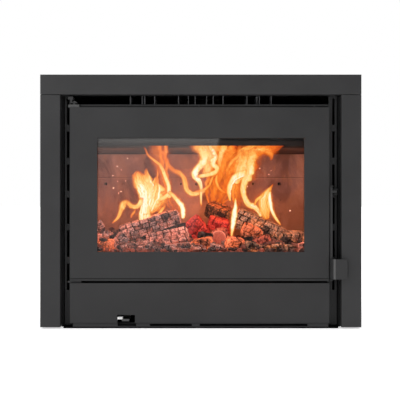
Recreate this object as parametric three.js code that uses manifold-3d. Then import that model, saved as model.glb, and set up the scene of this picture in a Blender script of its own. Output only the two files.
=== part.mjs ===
// A wood-burning fireplace built into a wall: a steel cassette with a three-sided surround, a glazed
// side-hung door with a latch bar, a lined firebox, and a sliding lever for the combustion air.
// Millimetres, +Z up, the front faces -Y. Depths are counted back from the surround's front face,
// and the finished group is moved so that its origin is the middle of its underside.

import * as THREE from "three";
import { mergeVertices } from "three/addons/utils/BufferGeometryUtils.js";
import Module from "manifold-3d";

const wasm = await Module();
wasm.setup();

// General fits
const seat = 0.3;
const overrun = 6;
const arcSteps = 6;
const roundSteps = 24;

// Surround
const surroundWidth = 804;
const surroundTop = 636;
const surroundFoot = 3.5;
const surroundBar = 50;
const surroundDepth = 28;
const surroundSheet = 2;
const surroundJoint = 0.8;
const spliceWidth = 30;
const spliceLength = 80;
const spliceThickness = 3;
const surroundHalf = surroundWidth / 2;
const surroundInner = surroundHalf - surroundBar;
const barJoint = surroundTop - surroundBar;

// Casing, which stands behind the surround
const recessPlay = 2;
const casingDrop = 38;
const casingDepth = 370;
const casingSheet = 2;
const baseThickness = 4;
const baseNose = 22;
const baseNoseInset = 5;
const flangeWidth = 10;
const flangeRise = 12;
const flangeChamfer = 12;
const casingHalf = surroundInner - recessPlay;
const casingTop = surroundTop - casingDrop;
const casingBack = surroundDepth + casingDepth;
const flangeTop = casingTop + flangeRise;

// Front plate of the stove body
const plateMargin = 3;
const plateGap = 4;
const plateThickness = 4;
const ventMargin = 21;
const ventHead = 5;
const ventHeight = 24;
const bayMargin = 37;
const bayBottom = 10;
const bayOverlap = 4;
const fireMargin = 59;
const fireCorner = 10;
const slotCount = 6;
const slotWidth = 6;
const slotInset = 8.5;
const slotHead = 47.3;
const slotFoot = 122.2;
const slotBridge = 17.3;
const plateHalf = casingHalf - plateMargin;
const plateTop = casingTop - plateMargin;
const plateFront = surroundDepth + casingSheet + plateGap;
const plateBack = plateFront + plateThickness;
const ventTop = plateTop - ventHead;
const ventBottom = ventTop - ventHeight;
const slotTopCentre = plateTop - slotHead;
const slotPitch = (slotTopCentre - baseThickness - slotFoot) / (slotCount - 1);
const slotLength = slotPitch - slotBridge;

// Bottom strip and lower cover panel
const stripGap = 1;
const stripTop = 13;
const stripFront = 6;
const stripSheet = 2;
const stripFoot = 16;
const stripFootSheet = 1.5;
const stripRim = 1.6;
const stripLeftInset = 7;
const stripRightInset = 2;
const stripNotchExtra = 3;
const stripSlotShares = [[0.3014, 0.466], [0.4964, 0.9186]];
const panelHeight = 100;
const panelFront = 2;
const panelSheet = 2;
const notchWidth = 43.8;
const notchHeight = 20;
const panelBottom = stripTop + stripGap;
const panelTop = panelBottom + panelHeight;

// Door
const doorLeftMargin = 19;
const doorRightMargin = 25;
const doorGap = 6;
const doorBackGap = 4;
const doorSheet = 3;
const windowMargin = 29.4;
const windowSill = 72;
const windowHead = 77;
const glassOverlap = 14;
const glassThickness = 4;
const glassSealWidth = 10;
const glassSealThickness = 2.4;
const retainerInset = 58.6;
const retainerReach = 8;
const retainerFoot = 14;
const retainerSheet = 2;
const backFrameSheet = 3;
const backFrameOverlap = 7;
const doorSealWidth = 11;
const doorSealInset = 6;
const fireSill = 35;
const fireHead = 54;
const lipGap = 9;
const doorLeft = -plateHalf + doorLeftMargin;
const doorRight = plateHalf - doorRightMargin;
const doorDepth = plateFront - doorBackGap;
const doorBottom = panelTop + doorGap;

// Header lip over the door
const lipDrop = 3;
const lipHeight = 8;
const lipFront = 10;
const lipSheet = 2;
const lipFold = 2.5;
const lipLeftInset = 26;
const lipRightInset = 2;
const lipTop = ventBottom - lipDrop;
const lipLeft = doorLeft + lipLeftInset;
const lipRight = doorRight - lipRightInset;
const doorTop = lipTop - lipGap;

// The fire opening and the door's window
const fireHalf = plateHalf - fireMargin;
const fireBottom = doorBottom + fireSill;
const fireTop = doorTop - fireHead;
const windowHalf = fireHalf - windowMargin;
const windowBottom = doorBottom + windowSill;
const windowTop = doorTop - windowHead;

// Hinges
const hingeInset = 10;
const pinRadius = 4;
const pinHoleRadius = 4.5;
const pinWasherRadius = 7;
const pinWasherThickness = 0.9;
const pinCollarRadius = 5.2;
const pinCollarHeight = 3.6;
const pinClearRadius = 6;
const pinUpperSink = 7;
const pinUpperRise = 17;
const pinLowerRise = 13;
const leafOverhang = 4;
const leafReach = 13.5;
const leafFront = 3;
const leafThickness = 7;
const leafRoundRadius = 9;
const lowerLeafReach = 18;
const lowerLeafThickness = 5;
const bracketRise = 28;
const bracketArmHeight = 7.5;
const bracketArmOuter = 16;
const bracketArmInner = 3.5;
const bracketHookWidth = 5.3;
const bracketHookFront = 10;
const bracketFootRise = 11.3;
const bracketFootHeight = 3.2;
const bracketFootReach = 7;
const bracketFootDepth = 12;
const lowerBracketGap = 0.8;
const lowerBracketHeight = 4;
const lowerBracketFront = 6;
const hingeX = doorLeft + hingeInset;
const hingeDepth = doorDepth / 2;

// Latch bar and tab handle
const barGap = 4.7;
const barCentreDepth = 3;
const barWidth = 5.6;
const barDepth = 6;
const barLength = 229;
const barPinRadius = 2.2;
const lugHoleRadius = 2.6;
const lugHeight = 4;
const lugWidth = 9.5;
const lugDepth = 9;
const lugGap = 0.8;
const tabHeight = 50.3;
const tabReach = 38.8;
const tabFront = -14;
const tabSheet = 3;
const tabBendReach = 6.5;
const tabCorner = 8;
const tongueDrop = 13.7;
const tongueHeight = 5.7;
const tongueInner = 8.3;
const tongueOuter = 13.8;
const tongueReach = 17;
const keeperWidth = 11;
const keeperSheet = 3;
const keeperReach = 16;
const keeperPlay = 1.4;
const keeperFoot = 4.6;
const keeperHead = 1.9;
const barCentreX = doorRight + barGap;
const barBottom = doorBottom + barGap;
const barTop = barBottom + barLength;
const tongueBottom = barTop - tongueDrop;

// Firebox
const boxMargin = 16;
const boxSheet = 4;
const boxRise = 20;
const boxHeadroom = 74;
const boxRear = 59;
const legWidth = 34;
const legOpeningDrop = 10;
const liningThickness = 25;
const liningHeadroom = 66.3;
const liningUpper = 68.7;
const floorLining = 20;
const airHoleDrop = 19;
const airHoleShares = [-0.4623, -0.0967, -0.0197, 0.2557, 0.382];
const airHoleRadii = [5, 3.5, 5, 3.5, 5];
const smallHoleDrop = 68;
const smallHoleShare = 0.3902;
const smallHoleRadius = 2.5;
const grateWidth = 242;
const grateFrontGap = 61;
const grateBackGap = 48.7;
const grateThickness = 13.5;
const grateBarCount = 9;
const grateSlotWidth = 12;
const grateRim = 16;
const panMargin = 9;
const panDepth = 40;
const panSheet = 1.5;
const panRim = 10;
const panInset = 8;
const baffleFront = 70;
const baffleThickness = 20;
const deflectorOverlap = 8;
const deflectorSheet = 3;
const deflectorGap = 12;
const deflectorBendDrop = 51;
const deflectorLength = 62.5;
const deflectorReach = 12;
const boxHalf = casingHalf - boxMargin;
const boxBottom = doorBottom + boxRise;
const boxTop = casingTop - boxHeadroom;
const boxBack = casingBack - boxRear;
const boxFloor = boxBottom + boxSheet;
const liningHalf = boxHalf - boxSheet;
const hearthHalf = liningHalf - liningThickness;
const liningTop = boxTop - liningHeadroom;
const liningJoint = liningTop - liningUpper;
const liningBack = boxBack - boxSheet - seat;
const hearthFront = plateBack + seat;
const hearthBack = liningBack - liningThickness;
const hearthTop = boxFloor + floorLining;
const grateFront = plateBack + grateFrontGap;
const grateBack = hearthBack - grateBackGap;
const panWidth = grateWidth - 2 * panMargin;

// Flue and warm-air channels
const flueBackGap = 124;
const flueRadius = 75;
const flueWall = 4;
const flueRise = 34;
const flueFlangeWidth = 20;
const flueFlangeThickness = 6;
const flueHoleGap = 3;
const finGap = 6;
const finBackGap = 8;
const finSheet = 2;
const finOffsets = [14.7, 32, 57.3, 118.5, 144, 150.5, 181];
const finEdge = 5;
const flueDepth = boxBack - flueBackGap;
const flueTop = casingTop + flueRise;
const finFront = plateBack + finGap;
const finBack = flueDepth - flueRadius - flueFlangeWidth - finBackGap;

// Air box, shutter and knob
const airBoxInset = 20;
const airBoxWidth = 174;
const airBoxGap = 28;
const airBoxDepth = 134;
const airBoxRise = 16;
const airBoxSheet = 2;
const portWidth = 14;
const portCount = 3;
const portFirst = 39;
const portPitch = 42;
const portInset = 8;
const shutterInset = 26;
const shutterLength = 114;
const shutterRise = 8;
const shutterHeight = 54;
const shutterThickness = 3.7;
const railLip = 6;
const railSheet = 2.3;
const notchOffset = 81.2;
const armOffset = 9.8;
const armWidth = 19;
const armThickness = 5.7;
const armRise = 14;
const armDropGap = 18;
const armLift = 3;
const armFront = 10;
const knobOffset = 0.8;
const knobWidth = 12;
const knobLift = 7;
const knobHeight = 5.7;
const knobFront = -3;
const knobBack = 14;
const bayHalf = plateHalf - bayMargin;
const airBoxLeft = -bayHalf + airBoxInset;
const airBoxFront = plateBack + airBoxGap;
const airBoxBottom = panelBottom + airBoxRise;
const shutterBottom = airBoxBottom + shutterRise;
const shutterTop = shutterBottom + shutterHeight;
const notchLeft = airBoxLeft + notchOffset;
const notchX = [notchLeft, notchLeft + notchWidth];

// Fire: the bed of embers, and each log's middle, size and turns. The middle's depth is a share of the
// hearth's depth, all else is a share of its width, and the turns are pitch, yaw and roll.
const degree = Math.PI / 180;
const emberMargin = 2;
const emberFrontGap = 8;
const emberBackGap = 5.7;
const emberHeight = 46;
const emberRelief = 9;
const emberLumpWidth = 11;
const emberLumpDepth = 9;
const emberCoalRelief = 5;
const emberCoalWidth = 6.3;
const emberLeftHeap = 30;
const emberHeapReach = 70;
const emberColumns = 30;
const emberRows = 12;
const logBite = 0.35;
const logShares = [
  { name: "log_left_upper", at: [-0.231, 0.54, 0.144], size: [0.282, 0.102, 0.082], turns: [16, 4, 6] },
  { name: "log_left_lower", at: [-0.144, 0.294, 0.0934], size: [0.184, 0.075, 0.067], turns: [12, -5, -8] },
  { name: "log_centre", at: [0.102, 0.655, 0.193], size: [0.157, 0.089, 0.075], turns: [-22, -24, 12] },
  { name: "log_right", at: [0.27, 0.507, 0.131], size: [0.249, 0.105, 0.098], turns: [-25, -6, 5] },
  { name: "log_far_right", at: [0.41, 0.353, 0.082], size: [0.138, 0.095, 0.079], turns: [-4, 8, 10] },
  { name: "log_round", at: [0.085, 0.367, 0.105], size: [0.128, 0.069, 0.069], turns: [5, 82, 0] },
  { name: "log_glowing", at: [-0.015, 0.412, 0.134], size: [0.102, 0.072, 0.082], turns: [-50, 10, 20] },
];
const emberHalf = hearthHalf - emberMargin;
const emberFront = plateBack + emberFrontGap;
const emberBack = hearthBack - emberBackGap;

// The middle of the whole depth, from the handle's front to the casing's back
const middleDepth = (tabFront + casingBack) / 2;

// Finishes
const finish = (color, roughness, metalness) =>
  new THREE.MeshStandardMaterial({ color, roughness, metalness });
const paintedSteel = () => finish(0x3b3b3d, 0.55, 0.35);
const darkSteel = () => finish(0x17171a, 0.7, 0.4);
const bodySteel = () => finish(0x2a2a2c, 0.6, 0.4);
const brightSteel = () => finish(0x9a9a9c, 0.35, 0.9);
const castIron = () => finish(0x26262a, 0.8, 0.5);
const firebrick = () => finish(0xb0745a, 0.95, 0);
const seamRope = () => finish(0x3a3a38, 0.95, 0);
const charredWood = () => finish(0x3d2a22, 0.95, 0);
const embers = () => finish(0x8a2f18, 0.95, 0);
const clearGlass = () => {
  const glass = finish(0x1c1c1e, 0.05, 0);
  glass.transparent = true;
  glass.opacity = 0.3;
  return glass;
};

// Shapes: each takes [low, high] pairs across x, depth y and height z.
const span = (pair) => pair[1] - pair[0];
const middle = (pair) => (pair[0] + pair[1]) / 2;
const across = (half) => [-half, half];
const mirrored = (pair) => [-pair[1], -pair[0]];
const grown = (pair, by) => [pair[0] - by, pair[1] + by];
const through = (pair) => grown(pair, overrun);

function block(x, y, z) {
  return new THREE.BoxGeometry(span(x), span(y), span(z)).translate(middle(x), middle(y), middle(z));
}

function outline(points) {
  return new THREE.Shape(points.map(([a, b]) => new THREE.Vector2(a, b)));
}

function rectangle(x, z, radius = 0) {
  if (radius === 0) return outline([[x[0], z[0]], [x[1], z[0]], [x[1], z[1]], [x[0], z[1]]]);
  const shape = new THREE.Shape();
  shape.absarc(x[0] + radius, z[0] + radius, radius, Math.PI, 1.5 * Math.PI);
  shape.absarc(x[1] - radius, z[0] + radius, radius, 1.5 * Math.PI, 2 * Math.PI);
  shape.absarc(x[1] - radius, z[1] - radius, radius, 0, 0.5 * Math.PI);
  shape.absarc(x[0] + radius, z[1] - radius, radius, 0.5 * Math.PI, Math.PI);
  return shape;
}

function circle(x, z, radius) {
  return new THREE.Shape().absarc(x, z, radius, 0, 2 * Math.PI);
}

function extruded(shape, length, steps = arcSteps) {
  return new THREE.ExtrudeGeometry(shape, { depth: length, bevelEnabled: false, curveSegments: steps });
}

// A sheet seen from the front: its outline lies in x and z, its thickness in depth.
function upright(shape, y, holes = []) {
  const sheet = extruded(shape, span(y)).rotateX(Math.PI / 2).translate(0, y[1], 0);
  return holes.length ? cut(sheet, ...holes.map((hole) => upright(hole, through(y)))) : sheet;
}

// A sheet seen from above: its outline lies in x and depth, its thickness in height.
function flat(shape, z, holes = [], steps = arcSteps) {
  const sheet = extruded(shape, span(z), steps).translate(0, 0, z[0]);
  return holes.length ? cut(sheet, ...holes.map((hole) => flat(hole, through(z), [], steps))) : sheet;
}

// A bent bar: its outline lies in depth and height, its length along x.
function profileBar(points, x) {
  const turn = new THREE.Matrix4().makeBasis(
    new THREE.Vector3(0, 1, 0),
    new THREE.Vector3(0, 0, 1),
    new THREE.Vector3(1, 0, 0),
  );
  return extruded(outline(points), span(x)).applyMatrix4(turn).translate(x[0], 0, 0);
}

function uprightPin(x, y, radius, z) {
  return new THREE.CylinderGeometry(radius, radius, span(z), roundSteps)
    .rotateX(Math.PI / 2)
    .translate(x, y, middle(z));
}

function solidOf(geometry) {
  const bare = geometry.clone();
  bare.deleteAttribute("normal");
  bare.deleteAttribute("uv");
  const merged = mergeVertices(bare);
  return new wasm.Manifold(
    new wasm.Mesh({
      numProp: 3,
      vertProperties: merged.attributes.position.array,
      triVerts: new Uint32Array(merged.index.array),
    }),
  );
}

function geometryOf(solid) {
  const mesh = solid.getMesh();
  const geometry = new THREE.BufferGeometry();
  geometry.setAttribute("position", new THREE.BufferAttribute(new Float32Array(mesh.vertProperties), 3));
  geometry.setIndex(new THREE.BufferAttribute(new Uint32Array(mesh.triVerts), 1));
  geometry.computeVertexNormals();
  return geometry;
}

function cut(geometry, ...tools) {
  return geometryOf(tools.reduce((left, tool) => left.subtract(solidOf(tool)), solidOf(geometry)));
}

function join(...pieces) {
  return geometryOf(pieces.slice(1).reduce((sum, piece) => sum.add(solidOf(piece)), solidOf(pieces[0])));
}

function shared(first, second) {
  return geometryOf(solidOf(first).intersect(solidOf(second)));
}

const fireplace = new THREE.Group();
fireplace.position.y = -middleDepth;

function part(name, geometry, material) {
  const mesh = new THREE.Mesh(geometry, material);
  mesh.name = name;
  fireplace.add(mesh);
}

// Surround: folded trays, open at the back, joined by a splice plate in each upper corner
const spliceLeft = -surroundHalf + surroundSheet + overrun;
const spliceX = [spliceLeft, spliceLeft + spliceWidth];
const spliceY = [surroundSheet + seat, surroundSheet + seat + spliceThickness];
const spliceZ = [barJoint - spliceLength / 2, barJoint + spliceLength / 2];

function tray(x, z, ...cutters) {
  const inside = block(
    [x[0] + surroundSheet, x[1] - surroundSheet],
    [surroundSheet, surroundDepth + overrun],
    [z[0] + surroundSheet, z[1] - surroundSheet],
  );
  return cut(block(x, [0, surroundDepth], z), inside, ...cutters);
}

function spliceSlot(x) {
  return block(
    [x[0] - seat, x[1] + seat],
    [surroundSheet, spliceY[1] + seat],
    [barJoint - surroundJoint - surroundSheet - seat, barJoint + surroundSheet + seat],
  );
}

function makeSurround() {
  const sideZ = [surroundFoot, barJoint - surroundJoint];
  const leftX = [-surroundHalf, -surroundInner];
  const slots = () => [spliceSlot(spliceX), spliceSlot(mirrored(spliceX))];
  part("surround_top", tray(across(surroundHalf), [barJoint, surroundTop], ...slots()), paintedSteel());
  part("surround_left", tray(leftX, sideZ, spliceSlot(spliceX)), paintedSteel());
  part("surround_right", tray(mirrored(leftX), sideZ, spliceSlot(mirrored(spliceX))), paintedSteel());
  part("surround_splice_left", block(spliceX, spliceY, spliceZ), darkSteel());
  part("surround_splice_right", block(mirrored(spliceX), spliceY, spliceZ), darkSteel());
}

// Casing: a flange that bears on the wall, and a box of sheet that lines the recess
function makeCasing() {
  const flangeY = [surroundDepth, surroundDepth + casingSheet];
  const outer = casingHalf + flangeWidth;
  const flangeOutline = outline([
    [-outer + flangeChamfer / 2, 0],
    [-casingHalf, 0],
    [-casingHalf, casingTop],
    [casingHalf, casingTop],
    [casingHalf, 0],
    [outer - flangeChamfer / 2, 0],
    [outer, flangeChamfer],
    [outer, flangeTop],
    [-outer, flangeTop],
    [-outer, flangeChamfer],
  ]);
  part("casing_flange", upright(flangeOutline, flangeY), darkSteel());

  const noseHalf = casingHalf - baseNoseInset;
  const noseY = surroundDepth - baseNose;
  const baseOutline = outline([
    [-noseHalf, noseY],
    [noseHalf, noseY],
    [noseHalf, flangeY[0]],
    [casingHalf, flangeY[0]],
    [casingHalf, casingBack],
    [-casingHalf, casingBack],
    [-casingHalf, flangeY[0]],
    [-noseHalf, flangeY[0]],
  ]);
  part("casing_base", flat(baseOutline, [0, baseThickness]), darkSteel());

  const wallY = [flangeY[0], casingBack - casingSheet];
  const wallZ = [baseThickness, casingTop - casingSheet];
  const leftWall = [-casingHalf, -casingHalf + casingSheet];
  part("casing_left", block(leftWall, wallY, wallZ), darkSteel());
  part("casing_right", block(mirrored(leftWall), wallY, wallZ), darkSteel());
  part("casing_back", block(across(casingHalf), [wallY[1], casingBack], wallZ), darkSteel());
  const flueHole = circle(0, flueDepth, flueRadius + flueHoleGap);
  const top = rectangle(across(casingHalf), [flangeY[0], casingBack]);
  part("casing_top", flat(top, [wallZ[1], casingTop], [flueHole], roundSteps), darkSteel());
}

// Front plate: the stove body's face, with the fire opening, the warm-air slot and the side slots
function makeFrontPlate() {
  const slots = [];
  for (let i = 0; i < slotCount; i += 1) {
    const centre = slotTopCentre - i * slotPitch;
    const z = [centre - slotLength / 2, centre + slotLength / 2];
    const x = grown([plateHalf - slotInset, plateHalf - slotInset], slotWidth / 2);
    slots.push(rectangle(x, z), rectangle(mirrored(x), z));
  }
  const openings = [
    rectangle(across(plateHalf - ventMargin), [ventBottom, ventTop]),
    rectangle(across(fireHalf), [fireBottom, fireTop], fireCorner),
    rectangle(across(bayHalf), [bayBottom, panelTop - bayOverlap]),
  ];
  const face = rectangle(across(plateHalf), [baseThickness, plateTop]);
  part("front_plate", upright(face, [plateFront, plateBack], [...openings, ...slots]), bodySteel());
}

function makeHeaderLip() {
  const lipBottom = lipTop - lipHeight;
  const profile = [
    [plateFront, lipTop],
    [lipFront + lipFold, lipTop],
    [lipFront, lipTop - lipFold],
    [lipFront, lipBottom],
    [lipFront + lipSheet, lipBottom],
    [lipFront + lipSheet, lipTop - lipFold],
    [lipFront + lipFold, lipTop - lipSheet],
    [plateFront, lipTop - lipSheet],
  ];
  part("header_lip", profileBar(profile, [lipLeft, lipRight]), paintedSteel());
}

// Lower cover panel: a folded cover that hangs in front of the air bay, notched for the air knob
function makeLowerPanel() {
  const x = [doorLeft, doorRight];
  const inside = block(
    [x[0] + panelSheet, x[1] - panelSheet],
    [panelFront + panelSheet, plateFront + overrun],
    [panelBottom - overrun, panelTop - panelSheet],
  );
  const notch = block(
    notchX,
    [panelFront - overrun, panelFront + panelSheet + overrun],
    [panelBottom - overrun, panelBottom + notchHeight],
  );
  const shell = block(x, [panelFront, plateFront], [panelBottom, panelTop]);
  part("lower_panel", cut(shell, inside, notch), paintedSteel());
}

function makeBottomStrip() {
  const x = [doorLeft + stripLeftInset, doorRight - stripRightInset];
  const bodyZ = [baseThickness, stripTop];
  const faceY = [stripFront, stripFront + stripSheet];
  const face = block(x, faceY, bodyZ);
  const footTop = baseThickness + stripFootSheet;
  const foot = block(x, [stripFront, stripFront + stripFoot], [baseThickness, footTop]);
  const cutY = [stripFront - overrun, faceY[1] + overrun];
  const notch = block([notchX[0], notchX[1] + stripNotchExtra], cutY, [footTop, stripTop + overrun]);
  const slotZ = [footTop, stripTop - stripRim];
  const slots = stripSlotShares.map(([from, to]) => {
    const slotX = [x[0] + from * span(x), x[0] + to * span(x)];
    return upright(rectangle(slotX, slotZ, span(slotZ) / 3), cutY);
  });
  part("bottom_strip", cut(join(face, foot), notch, ...slots), paintedSteel());
}

// Firebox: welded steel plates, lined with boards, over an ash opening
function makeFirebox() {
  const sideY = [plateBack, boxBack - boxSheet];
  const sideZ = [boxBottom, boxTop - boxSheet];
  const leftX = [-boxHalf, -liningHalf];
  part("firebox_left", block(leftX, sideY, sideZ), bodySteel());
  part("firebox_right", block(mirrored(leftX), sideY, sideZ), bodySteel());
  const legInner = boxHalf - legWidth;
  const legTop = boxBottom - legOpeningDrop;
  const backOutline = outline([
    [-boxHalf, baseThickness],
    [-legInner, baseThickness],
    [-legInner, legTop],
    [legInner, legTop],
    [legInner, baseThickness],
    [boxHalf, baseThickness],
    [boxHalf, boxTop - boxSheet],
    [-boxHalf, boxTop - boxSheet],
  ]);
  part("firebox_back", upright(backOutline, [boxBack - boxSheet, boxBack]), bodySteel());
  const flueHole = circle(0, flueDepth, flueRadius - flueWall);
  const top = rectangle(across(boxHalf), [plateBack, boxBack]);
  part("firebox_top", flat(top, [boxTop - boxSheet, boxTop], [flueHole], roundSteps), bodySteel());
  const floor = rectangle(across(liningHalf), sideY);
  const openingY = grown([grateFront + panInset, grateBack - panInset], seat);
  const opening = rectangle(across(panWidth / 2 + seat), openingY);
  part("firebox_floor", flat(floor, [boxBottom, boxFloor], [opening]), bodySteel());
}

function makeLining() {
  const sideX = [-liningHalf, -hearthHalf];
  const sideY = [hearthFront, hearthBack - seat];
  part("lining_left", block(sideX, sideY, [boxFloor, liningTop]), firebrick());
  part("lining_right", block(mirrored(sideX), sideY, [boxFloor, liningTop]), firebrick());

  const backY = [hearthBack, liningBack];
  const backX = across(liningHalf - seat);
  const hearthWidth = 2 * hearthHalf;
  const holes = airHoleShares.map((share, i) =>
    circle(share * hearthWidth, liningJoint - airHoleDrop, airHoleRadii[i]),
  );
  holes.push(circle(smallHoleShare * hearthWidth, liningJoint - smallHoleDrop, smallHoleRadius));
  const lower = rectangle(backX, [boxFloor, liningJoint - seat]);
  part("lining_back_lower", upright(lower, backY, holes), firebrick());
  part("lining_back_upper", block(backX, backY, [liningJoint, liningTop]), firebrick());

  const floor = rectangle(across(hearthHalf - seat), sideY);
  const recess = rectangle(across(grateWidth / 2 + seat), [grateFront - seat, grateBack + seat]);
  part("lining_floor", flat(floor, [boxFloor, hearthTop], [recess]), firebrick());
}

function makeGrateAndPan() {
  const rimZ = [boxFloor, boxFloor + panSheet];
  const panX = across(panWidth / 2);
  const panY = [grateFront + panInset, grateBack - panInset];
  const panZ = [boxFloor - panDepth, rimZ[1]];
  const rimX = across(panWidth / 2 + panRim - panSheet);
  const rimY = [panY[0] - panInset / 2, panY[1] + panInset / 2];
  const hollow = block(
    [panX[0] + panSheet, panX[1] - panSheet],
    [panY[0] + panSheet, panY[1] - panSheet],
    [panZ[0] + panSheet, panZ[1] + overrun],
  );
  part("ash_pan", cut(join(block(panX, panY, panZ), block(rimX, rimY, rimZ)), hollow), bodySteel());

  const grateZ = [rimZ[1] + seat, rimZ[1] + seat + grateThickness];
  const halfWidth = grateWidth / 2;
  const pitch = (grateWidth - grateRim) / grateBarCount;
  const slots = [];
  for (let i = 0; i < grateBarCount; i += 1) {
    const centre = -halfWidth + grateRim / 2 + (i + 0.5) * pitch;
    const x = [centre - grateSlotWidth / 2, centre + grateSlotWidth / 2];
    slots.push(rectangle(x, [grateFront + grateRim, grateBack - grateRim]));
  }
  const plate = rectangle(across(halfWidth), [grateFront, grateBack]);
  part("grate", flat(plate, grateZ, slots), castIron());
}

function makeBaffleAndDeflector() {
  const baffleZ = [liningTop + seat, liningTop + seat + baffleThickness];
  part("baffle", block(across(liningHalf - seat), [baffleFront, liningBack], baffleZ), firebrick());
  const top = boxTop - deflectorGap;
  const bend = boxTop - deflectorBendDrop;
  const bottom = boxTop - deflectorLength;
  const profile = [
    [plateBack, top],
    [plateBack, bend],
    [plateBack + deflectorReach - deflectorSheet, bottom],
    [plateBack + deflectorReach, bottom + deflectorSheet / 2],
    [plateBack + deflectorSheet, bend + deflectorSheet / 2],
    [plateBack + deflectorSheet, top],
  ];
  part("air_wash_deflector", profileBar(profile, across(fireHalf + deflectorOverlap)), bodySteel());
}

// Flue collar, and the channels that lead the warm air to the slot over the door
function makeFlueAndFins() {
  const inner = flueRadius - flueWall;
  const flangeRadius = flueRadius + flueFlangeWidth;
  const profile = [
    [inner, boxTop],
    [flangeRadius, boxTop],
    [flangeRadius, boxTop + flueFlangeThickness],
    [flueRadius, boxTop + flueFlangeThickness],
    [flueRadius, flueTop],
    [inner, flueTop],
    [inner, boxTop],
  ].map(([r, z]) => new THREE.Vector2(r, z));
  const collar = new THREE.LatheGeometry(profile, 2 * roundSteps).rotateX(Math.PI / 2);
  part("flue_collar", collar.translate(0, flueDepth, 0), castIron());

  const finY = [finFront, finBack];
  const widest = finOffsets[finOffsets.length - 1];
  const foot = block(across(widest + finEdge), finY, [boxTop, boxTop + finSheet]);
  const walls = finOffsets.flatMap((x) => [x, -x]).map((x) =>
    block([x - finSheet / 2, x + finSheet / 2], finY, [boxTop, ventTop]),
  );
  part("warm_air_channels", join(foot, ...walls), bodySteel());
}

// Air box under the hearth, with its sliding shutter and the knob in the panel's notch
function makeAirControl() {
  const x = [airBoxLeft, airBoxLeft + airBoxWidth];
  const y = [airBoxFront, airBoxFront + airBoxDepth];
  const z = [airBoxBottom, boxBottom];
  const inside = block(
    [x[0] + airBoxSheet, x[1] - airBoxSheet],
    [y[0] + airBoxSheet, y[1] - airBoxSheet],
    [z[0] + airBoxSheet, z[1] + overrun],
  );
  const portSpans = [];
  for (let i = 0; i < portCount; i += 1) {
    const centre = airBoxLeft + portFirst + i * portPitch;
    portSpans.push([centre - portWidth / 2, centre + portWidth / 2]);
  }
  const portZ = [shutterBottom + portInset, shutterTop - portInset];
  const ports = portSpans.map((portX) => block(portX, through([y[0], y[0] + airBoxSheet]), portZ));
  const shutterBack = airBoxFront - seat;
  const shutterY = [shutterBack - shutterThickness, shutterBack];
  const railY = [shutterY[0] - seat - railSheet, airBoxFront];
  const lipY = [railY[0], railY[0] + railSheet];
  const lowLedge = [shutterBottom - seat - railSheet, shutterBottom - seat];
  const highLedge = [shutterTop + seat, shutterTop + seat + railSheet];
  const rails = [
    block(x, railY, lowLedge),
    block(x, lipY, [lowLedge[0], lowLedge[1] + railLip]),
    block(x, railY, highLedge),
    block(x, lipY, [highLedge[0] - railLip, highLedge[1]]),
  ];
  part("air_box", join(cut(block(x, y, z), inside, ...ports), ...rails), bodySteel());

  const shutterLeft = airBoxLeft + shutterInset;
  const plate = cut(
    block([shutterLeft, shutterLeft + shutterLength], shutterY, [shutterBottom, shutterTop]),
    ...portSpans.map((portX) => block(portX, through(shutterY), portZ)),
  );
  const armX = [notchLeft + armOffset, notchLeft + armOffset + armWidth];
  const armHigh = shutterBottom + armRise;
  const armLow = panelBottom + armLift;
  const armDrop = airBoxFront - armDropGap;
  const arm = [
    block(armX, [armDrop, shutterY[0] + seat], [armHigh, armHigh + armThickness]),
    block(armX, [armDrop, armDrop + armThickness], [armLow, armHigh + armThickness]),
    block(armX, [armFront, armDrop + armThickness], [armLow, armLow + armThickness]),
  ];
  part("air_shutter", join(plate, ...arm), bodySteel());

  const knobX = [notchLeft + knobOffset, notchLeft + knobOffset + knobWidth];
  const knobBottom = armLow + knobLift;
  const knob = block(knobX, [knobFront, knobBack], [knobBottom, knobBottom + knobHeight]);
  const stem = block([armX[0], knobX[1]], [armFront, knobBack], [armLow + armThickness, knobBottom]);
  part("air_knob", join(knob, stem), brightSteel());
}

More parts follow.
